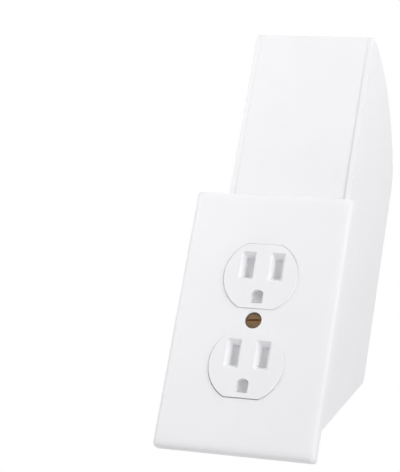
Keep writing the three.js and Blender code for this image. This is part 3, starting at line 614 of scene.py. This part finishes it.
def lock_screw(material):
    """An oval head with a straight slot, sunk in its seat, on a plain shank."""
    sphere = (HEAD_RADIUS**2 + HEAD_CROWN**2) / (2 * HEAD_CROWN)
    crown = []
    for step in range(1, CROWN_STEPS + 1):
        radius = HEAD_RADIUS * step / CROWN_STEPS
        crown.append((radius, HEAD_RIM - HEAD_CROWN + sphere - math.sqrt(sphere**2 - radius**2)))
    land = HEAD_RIM + HEAD_LAND
    cone = [(HEAD_RADIUS, land), (SHANK, land + HEAD_RADIUS - SHANK)]
    tip = [(SHANK, SHANK_END - SHANK_TIP), (SHANK - SHANK_TIP, SHANK_END)]
    screw = turned("lock_screw", crown + cone + tip, FINE_STEPS)
    soften(screw, lambda p: near(p.y, HEAD_RIM) and math.hypot(p.x, p.z) > HEAD_RADIUS - HAIR, HEAD_EDGE)
    reach, top = HEAD_RADIUS + PAST, HEAD_RIM - HEAD_CROWN
    width = (-SCREW_SLOT_HALF_WIDTH, SCREW_SLOT_HALF_WIDTH)
    slot = block("slot", (-reach, reach), (top - PAST, top + SCREW_SLOT_DEPTH), width)
    slot.rotation_euler.y = -math.radians(SCREW_SLOT_TURN)
    combine(screw, [move(slot)])
    soften_corners(screw, width=0.06)
    settle(screw, "lock_screw", "latch", material, angle=40)


def small_screw(material):
    """A pan head with a cross recess, modelled once for the six small screws. Those of the floor are shorter."""
    screw = turned("small_screw", SMALL_SCREW, ROUND_STEPS)
    long, wide = (-CROSS_HALF_LENGTH, CROSS_HALF_LENGTH), (-CROSS_HALF_WIDTH, CROSS_HALF_WIDTH)
    deep = (CROSS_BOTTOM, SMALL_HEAD_HEIGHT + PAST)
    combine(screw, [block("cross", long, deep, wide), block("cross", wide, deep, long)])
    soften_corners(screw, width=0.08)
    for node in PLATE_SCREWS + FLOOR_SCREWS:
        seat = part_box(node)[1].y / MM - SMALL_HEAD_HEIGHT
        middle = node_middle(node)
        twin = copied(screw, node)
        if node in FLOOR_SCREWS:
            shape(twin)
            pick(twin, "VERT", lambda p: p.y < SMALL_TIP)
            bpy.ops.transform.translate(value=(0, FLOOR_SCREW_SHORTER, 0))
            shaped()
        move(twin, middle.x, seat, middle.z)
        settle(twin, node, "safe", material)
    bpy.data.objects.remove(screw)


def shank_hole(front, back, steps):
    return turned("hole", [(SHANK_HOLE, front - PAST), (SHANK_HOLE, back + PAST)], steps)


def latch_bar(material):
    """A pressed channel with round tips."""
    back = BAR_FRONT + BAR_THICKNESS
    length = (-BAR_HALF_LENGTH, BAR_HALF_LENGTH)
    bar = block("latch_bar", (-BAR_HALF_WIDTH, BAR_HALF_WIDTH), (BAR_FRONT, back), length)
    shape(bar)
    pick_along(bar, (0, 1, 0))
    bpy.ops.mesh.bevel(offset=BAR_HALF_WIDTH - HAIR, segments=20, affect="EDGES")
    for x in (BAR_HALF_WIDTH - BAR_FLANGE_WALL, BAR_FLANGE_WALL - BAR_HALF_WIDTH):
        bpy.ops.mesh.select_all(action="SELECT")
        bpy.ops.mesh.bisect(plane_co=(x, 0, 0), plane_no=(1, 0, 0))
    for z in (BAR_FLANGE_HALF, -BAR_FLANGE_HALF):
        bpy.ops.mesh.select_all(action="SELECT")
        bpy.ops.mesh.bisect(plane_co=(0, 0, z), plane_no=(0, 0, 1))
    inner, end = BAR_HALF_WIDTH - BAR_FLANGE_WALL - HAIR, BAR_FLANGE_HALF + HAIR
    pick(bar, "FACE", lambda p: near(p.y, back) and abs(p.x) > inner and abs(p.z) < end, (0, 1, 0))
    bpy.ops.mesh.extrude_region_move(TRANSFORM_OT_translate={"value": (0, BAR_FLANGE, 0)})
    bpy.ops.transform.resize(value=(1, 1, 1 - BAR_FLANGE / BAR_FLANGE_HALF), center_override=(0, back, 0))
    turn_faces_out()
    shaped()
    combine(bar, [shank_hole(BAR_FRONT, back, ROUND_STEPS)])
    soften_corners(bar, width=0.25, angle=40, segments=3)
    settle(bar, "latch_bar", "latch", material)


def latch_nut(material):
    """A plain hexagon nut, chamfered at both ends."""
    corner = NUT_HALF_FLATS / math.cos(math.pi / 6)
    end = NUT_FRONT + NUT_THICKNESS
    nut = turned("latch_nut", [(corner, NUT_FRONT), (corner, end)], 6)
    inset, depth = NUT_CHAMFER
    cone = [(corner - inset, NUT_FRONT), (corner, NUT_FRONT + depth), (corner, end - depth), (corner - inset, end)]
    combine(nut, [turned("cone", cone, FINE_STEPS)], "INTERSECT")
    combine(nut, [shank_hole(NUT_FRONT, end, ROUND_STEPS)])
    soften_corners(nut, width=0.08)
    settle(nut, "latch_nut", "latch", material)


def wave_washer(material):
    """A thin ring, bent so that it rises towards the bar at its two sides."""
    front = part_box("wave_washer")[0].y / MM
    back = front + WASHER_THICKNESS
    washer = turned("wave_washer", [(WASHER_RADIUS, front), (WASHER_RADIUS, back)], FINE_STEPS)
    combine(washer, [shank_hole(front, back, FINE_STEPS)])
    soften_corners(washer, width=0.08)
    shape(washer)
    for side in (-1, 1):
        pick(washer, "VERT", lambda p: p.x * side > 0 and abs(p.z) < WASHER_CREST)
        bpy.ops.transform.translate(
            value=(0, WASHER_WAVE, 0),
            use_proportional_edit=True,
            proportional_edit_falloff="SMOOTH",
            proportional_size=WASHER_WAVE_REACH,
        )
    shaped()
    settle(washer, "wave_washer", "latch", material)


# Housing


def corner_arc(corner, before, after, radius):
    """The centre, start and end of an outline's round corner in y and z, and how far it turns from one direction to
    the next."""
    turn = after - before
    reach = radius * math.tan(turn / 2)
    start = corner - Vector((math.cos(before), math.sin(before))) * reach
    centre = start + Vector((-math.sin(before), math.cos(before))) * radius
    end = corner + Vector((math.cos(after), math.sin(after))) * reach
    return centre, start, end, turn


def draw_to(here, there):
    """Draws the selected edge on from one place in y and z to another."""
    bpy.ops.mesh.extrude_region_move(TRANSFORM_OT_translate={"value": (0, there[0] - here[0], there[1] - here[1])})


def sweep(centre, angle, steps):
    """Spins the selected edge about a line along x."""
    bpy.ops.mesh.spin(steps=steps, angle=-angle, center=(0, centre[0], centre[1]), axis=(1, 0, 0))


def hood_nose():
    """The centre of the round corner where the hood's arc meets its front, and the direction in which it starts."""
    rise = math.sqrt((HOOD_ARC - HOOD_NOSE) ** 2 - HOOD_NOSE**2)
    return (HOOD_FRONT + HOOD_NOSE, HOOD_TOP - HOOD_ARC + rise), math.atan2(rise, HOOD_NOSE)


def hood_start(wall):
    """The centre of the hood's back corner, then the centre of its long arc, the direction in which the two meet and
    the arc's radius."""
    radius, corner = HOOD_ARC - wall, HOOD_CORNER - wall
    middle_z = HOOD_TOP - HOOD_ARC
    y = DEPTH - wall - corner
    z = middle_z + math.sqrt((radius - corner) ** 2 - (y - HOOD_FRONT) ** 2)
    return (y, z), (HOOD_FRONT, middle_z), math.atan2(z - middle_z, y - HOOD_FRONT), radius


def back_strip(name, half, wall, foot):
    """The back of the housing, drawn up and over the hood, with its last edge left selected."""
    corner, middle, turn, radius = hood_start(wall)
    y = DEPTH - wall
    middle_z = (foot + corner[1]) / 2
    bpy.ops.mesh.primitive_plane_add(size=2, location=(0, y, middle_z), rotation=(math.pi / 2, 0, 0))
    piece = named(name, (half, (corner[1] - foot) / 2, 1))
    shape(piece)
    pick(piece, "EDGE", lambda p: near(p.z, corner[1]))
    sweep(corner, turn, CORNER_STEPS)
    return piece, middle, turn, radius


def close_outline(piece):
    """Welds the outline's ends, fills its two sides and turns its faces out."""
    bpy.ops.mesh.select_mode(type="EDGE")
    bpy.ops.mesh.select_all(action="SELECT")
    bpy.ops.mesh.remove_doubles(threshold=NEAR)
    bpy.ops.mesh.select_all(action="DESELECT")
    bpy.ops.mesh.select_non_manifold()
    bpy.ops.mesh.fill_holes(sides=0)
    turn_faces_out()
    shaped()


def housing_blank():
    """The outside: back, hood, pocket front, neck and the slanted mouth with its two round corners."""
    slant = math.atan2(MOUTH_BACK[0] - NECK_FOOT, DEPTH - MOUTH_FOOT[0])
    foot = corner_arc(Vector((MOUTH_FOOT[0], NECK_FOOT)), 0, slant, MOUTH_FOOT[1])
    heel = corner_arc(Vector((DEPTH, MOUTH_BACK[0])), slant, math.pi / 2, MOUTH_BACK[1])
    piece, middle, turn, radius = back_strip("housing_shell", HOUSING_HALF, 0, heel[2].y)
    nose, nose_turn = hood_nose()
    sweep(middle, nose_turn - turn, HOOD_STEPS)
    sweep(nose, math.pi - nose_turn, NOSE_STEPS)
    draw_to((HOOD_FRONT, nose[1]), (HOOD_FRONT, NECK_TOP))
    draw_to((HOOD_FRONT, NECK_TOP), (BASE_FRONT, NECK_TOP))
    draw_to((BASE_FRONT, NECK_TOP), (BASE_FRONT, NECK_FOOT))
    draw_to((BASE_FRONT, NECK_FOOT), foot[1])
    sweep(foot[0], foot[3], CORNER_STEPS)
    draw_to(foot[2], heel[1])
    sweep(heel[0], heel[3], HEEL_STEPS)
    close_outline(piece)
    soften(piece, lambda p: near(abs(p.x), HOUSING_HALF), SIDE_ROUND, segments=4)
    return piece


def housing_hollow():
    """The inside, open at the mouth, at the front of the neck and at the front of the pocket."""
    foot_seat, top_seat = (HOOD_FRONT + recess + PANEL_THICKNESS + SEAT for recess in PANEL_RECESS)
    low = 2 * NECK_FOOT
    piece, middle, turn, radius = back_strip("hollow", INSIDE_HALF, WALL, low)
    end = math.acos((top_seat - middle[0]) / radius)
    sweep(middle, end - turn, HOOD_STEPS)
    here = (top_seat, middle[1] + radius * math.sin(end))
    inside_top = NECK_TOP - WALL
    for there in (
        (top_seat, HOOD_TOP + PAST),
        (HOOD_FRONT - PAST, HOOD_TOP + PAST),
        (HOOD_FRONT - PAST, NECK_TOP),
        (foot_seat, NECK_TOP),
        (foot_seat, inside_top),
        (BASE_FRONT - PAST, inside_top),
        (BASE_FRONT - PAST, low),
        (DEPTH - WALL, low),
    ):
        draw_to(here, there)
        here = there
    close_outline(piece)
    return piece


def base_flange():
    """A flat frame round the front of the neck, inside the hollow of the cover plate."""
    half = (size - BASE_FLANGE_INSET for size in PLATE_HALF)
    flange = rounded_sheet("flange", *half, BASE_FLANGE_CORNER, BASE_FRONT)
    shape(flange)
    bpy.ops.mesh.select_all(action="SELECT")
    draw_back(WALL)
    turn_faces_out()
    shaped()
    sides, ends = (-INSIDE_HALF, INSIDE_HALF), (SILL_MIDDLE, NECK_TOP - WALL)
    return combine(flange, [block("window", sides, (BASE_FRONT - PAST, PAST), ends)])


def lugs():
    """The lugs that the small screws hold, and the ledges that the compartment floor rests on."""
    made = []
    for node in PLATE_SCREWS:
        place = node_middle(node)
        side, up = math.copysign(1, place.x), math.copysign(1, place.z)
        x = sorted((place.x - side * LUG_EDGE, side * WALL_MIDDLE))
        z = sorted((place.z - up * LUG_EDGE, NECK_TOP - WALL / 2 if up > 0 else SILL_MIDDLE))
        made.append(block("lug", x, PLATE_LUG, z))
    for node in FLOOR_SCREWS:
        place = node_middle(node)
        side = math.copysign(1, place.x)
        x = sorted((place.x - side * LUG_EDGE, side * WALL_MIDDLE))
        z = (place.z - FLOOR_LUG_REACH, place.z + FLOOR_LUG_REACH)
        made.append(block("lug", x, (FLOOR_SEAT - FLOOR_LUG_DEPTH, FLOOR_SEAT), z))
        x = sorted((side * (INSIDE_HALF - LEDGE), side * WALL_MIDDLE))
        z = sorted(-side * end for end in LEDGE_ENDS)
        made.append(block("ledge", x, (FLOOR_SEAT - LEDGE, FLOOR_SEAT), z))
    return made


def screw_holes(nodes, front, back):
    rings = [(SMALL_HOLE, front), (SMALL_HOLE, back)]
    places = [node_middle(node) for node in nodes]
    return [move(turned("hole", rings, HOLE_STEPS), place.x, 0, place.z) for place in places]


def lug_holes():
    plate_holes = screw_holes(PLATE_SCREWS, PLATE_LUG[0] - PAST, PLATE_LUG[1] + PAST)
    return plate_holes + screw_holes(FLOOR_SCREWS, FLOOR_SEAT - FLOOR_LUG_DEPTH - PAST, FLOOR_FRONT)


def windows():
    """A window in each side for a tip of the latch bar: up from the middle on the right, down on the left."""
    cuts = []
    for side in (1, -1):
        x = sorted((side * (INSIDE_HALF - PAST), side * (HOUSING_HALF + PAST)))
        z = sorted((-side * WINDOW_ENDS[0], side * WINDOW_ENDS[1]))
        cut = block("window", x, (WINDOW_FRONT, FLOOR_SEAT), z)
        shape(cut)
        pick_along(cut, (1, 0, 0))
        bpy.ops.mesh.bevel(offset=WINDOW_CORNER, segments=4, affect="EDGES")
        shaped()
        cuts.append(cut)
    return cuts


def housing_shell(material):
    shell = combine(housing_blank(), [housing_hollow()])

    def at_pocket_front(p):
        return near(abs(p.x), INSIDE_HALF) and near(p.y, HOOD_FRONT) and p.z > NECK_TOP

    soften(shell, at_pocket_front, FRONT_ROUND, segments=4)
    sill = block("sill", (-WALL_MIDDLE, WALL_MIDDLE), (BASE_FRONT, SILL_BACK), SILL)
    combine(shell, [base_flange(), sill, *lugs()], "UNION")
    combine(shell, windows() + lug_holes())
    soften_corners(shell, width=0.2, angle=60)
    settle(shell, "housing_shell", "safe", material)


# Pocket panel and compartment floor


def panel_front(z):
    """The place of the panel's front at a height, for it leans in towards its foot."""
    share = (z - NECK_TOP) / (HOOD_TOP - NECK_TOP)
    return HOOD_FRONT + PANEL_RECESS[0] + share * (PANEL_RECESS[1] - PANEL_RECESS[0])


def leaning_block(name, half, front, back, foot, top):
    """A block that leans with the panel, with its front and back measured from the panel's front."""
    piece = block(name, (-half, half), (front, back), (foot, top))
    shape(piece)
    pick(piece, "VERT", lambda p: near(p.z, foot))
    bpy.ops.transform.translate(value=(0, panel_front(foot), 0))
    pick(piece, "VERT", lambda p: near(p.z, top))
    bpy.ops.transform.translate(value=(0, panel_front(top), 0))
    shaped()
    return piece


def pocket_front_panel(material):
    """A sheet between the side walls, with a rim and two ribs behind it and a round front edge on top."""
    foot = NECK_TOP + SEAT
    panel = leaning_block("pocket_front_panel", INSIDE_HALF + PANEL_BITE, 0, PANEL_THICKNESS, foot, HOOD_TOP)

    def at_top_edge(p):
        return near(p.z, HOOD_TOP) and p.y < panel_front(HOOD_TOP) + HAIR

    soften(panel, at_top_edge, PANEL_EDGE, segments=4)
    half = INSIDE_HALF - LEDGE - SEAT
    back = PANEL_THICKNESS + PANEL_RIM
    top = HOOD_TOP - WALL - PANEL_TOP_GAP
    tray = leaning_block("tray", half, PANEL_THICKNESS - PANEL_RIM_BITE, back, foot, top)
    shape(tray)
    for x in (-half / 3, half / 3):
        bpy.ops.mesh.select_all(action="SELECT")
        bpy.ops.mesh.bisect(plane_co=(x, 0, 0), plane_no=(1, 0, 0))
    pick(tray, "FACE", lambda p: p.y > panel_front(p.z) + back - HAIR)
    bpy.ops.mesh.inset(thickness=PANEL_RIM_HALF_WIDTH, use_individual=True)
    bpy.ops.mesh.extrude_region_move(TRANSFORM_OT_translate={"value": (0, -PANEL_RIM, 0)})
    turn_faces_out()
    shaped()
    combine(panel, [tray], "UNION")
    soften_corners(panel, width=0.15, angle=60)
    settle(panel, "pocket_front_panel", "safe", material)


def compartment_floor(material):
    """A sheet behind the latch, turned forward at the mouth and at the pocket, with a bead along the mouth."""
    low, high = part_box("compartment_floor")
    half = INSIDE_HALF - SEAT
    foot, top = low.z / MM, high.z / MM
    lip_top = foot + FLOOR_LIP_THICKNESS
    panel_seat = HOOD_FRONT + PANEL_RECESS[0] + PANEL_THICKNESS + 2 * SEAT
    middle = (FLOOR_FRONT + FLOOR_BACK) / 2

    def strip(name, front, back, low_end, high_end):
        return block(name, (-half, half), (front, back), (low_end, high_end))

    floor = strip("compartment_floor", FLOOR_FRONT, FLOOR_BACK, lip_top, top)
    lip = strip("lip", FLOOR_BACK - FLOOR_LIP, FLOOR_BACK, foot, lip_top)
    riser = strip("riser", panel_seat, FLOOR_BACK, NECK_TOP - WALL, top)
    bead = strip("bead", middle, FLOOR_BACK + FLOOR_BEAD, foot, foot + FLOOR_BEAD_WIDTH)
    soften(bead, lambda p: p.y > FLOOR_BACK and p.z > lip_top, FLOOR_BEAD_ROUND, segments=5)
    combine(floor, [lip, riser, bead], "UNION")
    combine(floor, screw_holes(FLOOR_SCREWS, FLOOR_FRONT - PAST, FLOOR_BACK + PAST))
    soften_corners(floor, width=0.25, angle=60)
    settle(floor, "compartment_floor", "safe", material)


# Materials. Patterns lie on the object's own coordinates, in metres, and their sizes are given in millimetres.


def linear(hex_colour):
    """An sRGB hex colour as linear red, green, blue and alpha."""
    values = [int(hex_colour[i : i + 2], 16) / 255 for i in (1, 3, 5)]
    return [v / 12.92 if v <= 0.04045 else ((v + 0.055) / 1.055) ** 2.4 for v in values] + [1]


def node(tree, kind, settings=None, **inputs):
    """Adds a node with its settings, and links or sets its inputs, each by its name or as i and its number."""
    made = tree.nodes.new(kind)
    for name, value in (settings or {}).items():
        setattr(made, name, value)
    for name, value in inputs.items():
        socket = made.inputs[int(name[1:]) if name[1:].isdigit() else name.replace("_", " ")]
        if isinstance(value, bpy.types.NodeSocket):
            tree.links.new(value, socket)
        else:
            socket.default_value = value
    return made


def start_material(name):
    material = bpy.data.materials.new(name)
    material.use_nodes = True
    tree = material.node_tree
    tree.nodes.clear()
    return material, tree, node(tree, "ShaderNodeTexCoord").outputs["Object"]


def noise(tree, place, grain, detail, **inputs):
    """A noise texture with a grain in millimetres."""
    return node(tree, "ShaderNodeTexNoise", Vector=place, Scale=1 / (grain * MM), Detail=detail, **inputs).outputs[0]


def between(tree, value, low, high, **limits):
    """Spreads the values between two limits over a range that is 0 to 1 unless To_Min or To_Max says otherwise."""
    return node(tree, "ShaderNodeMapRange", Value=value, From_Min=low, From_Max=high, **limits).outputs[0]


def blend(tree, share, first, second):
    """A mix of two colours, each a hex colour or another node's."""
    first, second = (linear(colour) if isinstance(colour, str) else colour for colour in (first, second))
    return node(tree, "ShaderNodeMix", {"data_type": "RGBA"}, i0=share, i6=first, i7=second).outputs[2]


def bumps(tree, height, distance, strength=1, **inputs):
    """Bumps of a height in millimetres."""
    bump = node(tree, "ShaderNodeBump", Strength=strength, Distance=distance * MM, Height=height, **inputs)
    return bump.outputs[0]


def finish_material(tree, **inputs):
    shader = node(tree, "ShaderNodeBsdfPrincipled", **inputs)
    node(tree, "ShaderNodeOutputMaterial", Surface=shader.outputs[0])


def moulded_abs(name, pale, deep, gloss, grain, grain_height):
    """White ABS from an injection mould. The pigment lies in faint flow marks, the polish is a little uneven, the
    wall is a trifle wavy where it cooled, and the mould's own texture breaks up the reflections. Gloss is the
    roughness of the polish at its best, and grain the size of the mould's texture."""
    material, tree, place = start_material(name)
    colour = blend(tree, noise(tree, place, 28, 2, Distortion=0.6), deep, pale)
    polish = between(tree, noise(tree, place, 9, 2), 0.3, 0.7, To_Min=gloss - 0.01, To_Max=gloss + 0.04)
    wavy = bumps(tree, noise(tree, place, 14, 1), 0.04)
    # The mould's texture is really some 0.05 mm across, and drawn coarser so that it shows at all
    skin = bumps(tree, noise(tree, place, grain, 3), grain_height, Normal=wavy)
    finish_material(tree, Base_Color=colour, Roughness=polish, IOR=1.53, Normal=skin)
    return material


def turned_brass():
    """A brass screw head, turned and then dulled by handling: brown where it is bare, greyer in patches of tarnish,
    darker and greyer towards its rim in painted shade, redder down in the slot, and with the faint rings that the
    lathe left."""
    material, tree, place = start_material("dull_turned_brass")
    flat = node(tree, "ShaderNodeVectorMath", {"operation": "MULTIPLY"}, i0=place, i1=(1, 0, 1))
    reach = node(tree, "ShaderNodeVectorMath", {"operation": "LENGTH"}, i0=flat.outputs[0])
    # Painted shade: the head is painted darker and greyer towards its rim, where its dome turns away from the lamps
    rim_shade = between(tree, reach.outputs[1], 1.8 * MM, 3.5 * MM)
    cloud = noise(tree, place, 0.9, 4)
    patch = between(tree, cloud, 0.35, 0.7, To_Max=0.55)
    # This joins the painted rim shade to the real patches of tarnish
    dull = node(tree, "ShaderNodeMath", {"operation": "ADD", "use_clamp": True}, i0=rim_shade, i1=patch)
    metal = blend(tree, dull.outputs[0], "#8C6C4C", "#7A6A58")
    depth = node(tree, "ShaderNodeSeparateXYZ", Vector=place)
    sunk = between(tree, depth.outputs[1], (HEAD_RIM - 0.1) * MM, (HEAD_RIM + 0.5) * MM)
    colour = blend(tree, sunk, metal, "#96683F")
    wear = between(tree, cloud, 0.3, 0.7, To_Min=0.34, To_Max=0.56)
    # The lathe's rings are really some 0.05 mm apart, and drawn coarser so that they show
    rings = node(
        tree,
        "ShaderNodeTexWave",
        {"wave_type": "RINGS", "rings_direction": "Y", "wave_profile": "SIN"},
        Vector=place,
        Scale=math.pi / 10 / (0.3 * MM),
        Distortion=0.4,
    )
    finish_material(
        tree, Base_Color=colour, Metallic=1, Roughness=wear, Normal=bumps(tree, rings.outputs["Fac"], 0.006, 0.6)
    )
    return material


def zinc_screws():
    """Steel screws, tumbled in a barrel while they were zinc plated: bright, a little blue, and dimpled all over."""
    material, tree, place = start_material("barrel_zinc_plate")
    shade = noise(tree, place, 1.6, 3)
    colour = blend(tree, shade, "#A9AEB6", "#D2D5D9")
    polish = between(tree, shade, 0.3, 0.7, To_Min=0.24, To_Max=0.42)
    dents = node(tree, "ShaderNodeTexVoronoi", {"feature": "SMOOTH_F1"}, Vector=place, Scale=1 / (0.5 * MM))
    dimples = bumps(tree, dents.outputs["Distance"], 0.01, 0.5)
    finish_material(tree, Base_Color=colour, Metallic=1, Roughness=polish, Normal=dimples)
    return material


def zinc_strip():
    """The latch, pressed from cold-rolled strip and zinc plated: grey, with fine rolling lines along it and duller
    patches where the bath ran off."""
    material, tree, place = start_material("rolled_zinc_plate")
    # Rolling lines are really some 0.05 mm wide, and drawn coarser so that they show
    fine, long = 1 / (0.2 * MM), 1 / (9 * MM)
    drawn = node(tree, "ShaderNodeMapping", Vector=place, Scale=(fine, fine, long))
    lines = node(tree, "ShaderNodeTexNoise", Vector=drawn.outputs[0], Scale=1, Detail=3)
    run_off = noise(tree, place, 6, 3)
    colour = blend(tree, run_off, "#A3A7AC", "#C8CBCF")
    dull = between(tree, run_off, 0.35, 0.65, To_Min=0.3, To_Max=0.48)
    grooves = bumps(tree, lines.outputs[0], 0.006, 0.6)
    finish_material(tree, Base_Color=colour, Metallic=1, Roughness=dull, Normal=grooves)
    return material


# Studio: soft boxes round the object, and a pale floor that lights it from below

ROOM_STRENGTH = 0.26
LAMP_AIM = Vector((0, 0.03, 0.04))
FLOOR_SIZE = 6
FLOOR_HEIGHT = -0.9
FLOOR_GLOW = 0.75  # how much of the floor's look is plain pale, with the rest left for shadows


def seen_or_mirrored(tree):
    """1 for rays from the camera and from reflections, and 0 for those that carry light."""
    ray = node(tree, "ShaderNodeLightPath").outputs
    mirrored = node(
        tree, "ShaderNodeMath", {"operation": "MAXIMUM"}, i0=ray["Is Glossy Ray"], i1=ray["Is Transmission Ray"]
    )
    seen = node(tree, "ShaderNodeMath", {"operation": "MAXIMUM"}, i0=ray["Is Camera Ray"], i1=mirrored.outputs[0])
    return seen.outputs[0]


def add_world():
    """A dim room for soft light, which the camera and reflections see as a white studio."""
    world = bpy.data.worlds.new("studio")
    bpy.context.scene.world = world
    world.use_nodes = True
    tree = world.node_tree
    tree.nodes.clear()
    room = node(tree, "ShaderNodeBackground", Color=linear("#FFFFFF"), Strength=ROOM_STRENGTH)
    backdrop = node(tree, "ShaderNodeBackground", Color=linear("#FFFFFF"), Strength=1)
    mix = node(tree, "ShaderNodeMixShader", i0=seen_or_mirrored(tree), i1=room.outputs[0], i2=backdrop.outputs[0])
    node(tree, "ShaderNodeOutputWorld", Surface=mix.outputs[0])


def add_lamp(name, azimuth, elevation, distance, width, watts):
    """A square soft box aimed at the object, with its bearing from the object's front and its height in degrees.
    Reflections show the white room alone, so that no lamp burns a spot out."""
    turn, lift = math.radians(azimuth), math.radians(elevation)
    way = Vector((math.sin(turn) * math.cos(lift), -math.cos(turn) * math.cos(lift), math.sin(lift)))
    data = bpy.data.lights.new(name, "AREA")
    data.size = width
    data.energy = watts
    lamp = bpy.data.objects.new(name, data)
    bpy.context.scene.collection.objects.link(lamp)
    lamp.location = LAMP_AIM + way * distance
    lamp.rotation_euler = (-way).to_track_quat("-Z", "Y").to_euler()
    lamp.visible_glossy = False


def add_floor():
    """A pale painted floor below the hanging object, faintly mottled."""
    bpy.ops.object.select_all(action="DESELECT")
    bpy.ops.mesh.primitive_plane_add(size=FLOOR_SIZE, location=(0, 0, FLOOR_HEIGHT))
    floor = bpy.context.object
    floor.name = "floor"
    material, tree, place = start_material("pale_painted_floor")
    colour = blend(tree, noise(tree, place, 60, 3), "#F2F2F2", "#F6F6F6")
    paint = node(tree, "ShaderNodeBsdfDiffuse", Color=colour)
    glow = node(tree, "ShaderNodeEmission", Color=colour)
    share = node(tree, "ShaderNodeMath", {"operation": "MULTIPLY"}, i0=seen_or_mirrored(tree), i1=FLOOR_GLOW)
    mix = node(tree, "ShaderNodeMixShader", i0=share.outputs[0], i1=paint.outputs[0], i2=glow.outputs[0])
    node(tree, "ShaderNodeOutputMaterial", Surface=mix.outputs[0])
    floor.data.materials.append(material)


def add_studio():
    add_world()
    add_lamp("left_box", azimuth=-50, elevation=14, distance=0.46, width=0.3, watts=1.15)
    add_lamp("right_box", azimuth=58, elevation=8, distance=1.2, width=0.8, watts=7.4)
    add_lamp("low_box", azimuth=36, elevation=-10, distance=1.2, width=0.8, watts=1.1)
    add_lamp("upper_box", azimuth=60, elevation=45, distance=0.5, width=0.3, watts=0.75)
    add_lamp("foot_box", azimuth=0, elevation=-75, distance=0.55, width=0.5, watts=0.6)
    add_lamp("rear_box", azimuth=-165, elevation=35, distance=1.2, width=0.8, watts=7)
    add_floor()
    bpy.context.scene.view_settings.view_transform = "Standard"


add_camera()
# The cover plate, polished in its mould, so that its round edges carry soft pale lights
plate_abs = moulded_abs("polished_abs", "#F2F2F4", "#ECECEE", gloss=0.32, grain=1.2, grain_height=0.003)
# The outlets, from another moulding: a trifle glossier and a shade darker than the plate round them
outlet_abs = moulded_abs("polished_abs_insert", "#F1F1F3", "#EBEBED", gloss=0.3, grain=1, grain_height=0.002)
# The housing, from a plainer mould: satin, with a coarser skin
housing_abs = moulded_abs("satin_abs", "#F1F1F3", "#ECECEE", gloss=0.42, grain=1.4, grain_height=0.006)
latch_zinc = zinc_strip()
face_plate(plate_abs)
outlets(outlet_abs)
lock_screw(turned_brass())
small_screw(zinc_screws())
latch_bar(latch_zinc)
latch_nut(latch_zinc)
wave_washer(latch_zinc)
housing_shell(housing_abs)
pocket_front_panel(housing_abs)
compartment_floor(housing_abs)
add_studio()
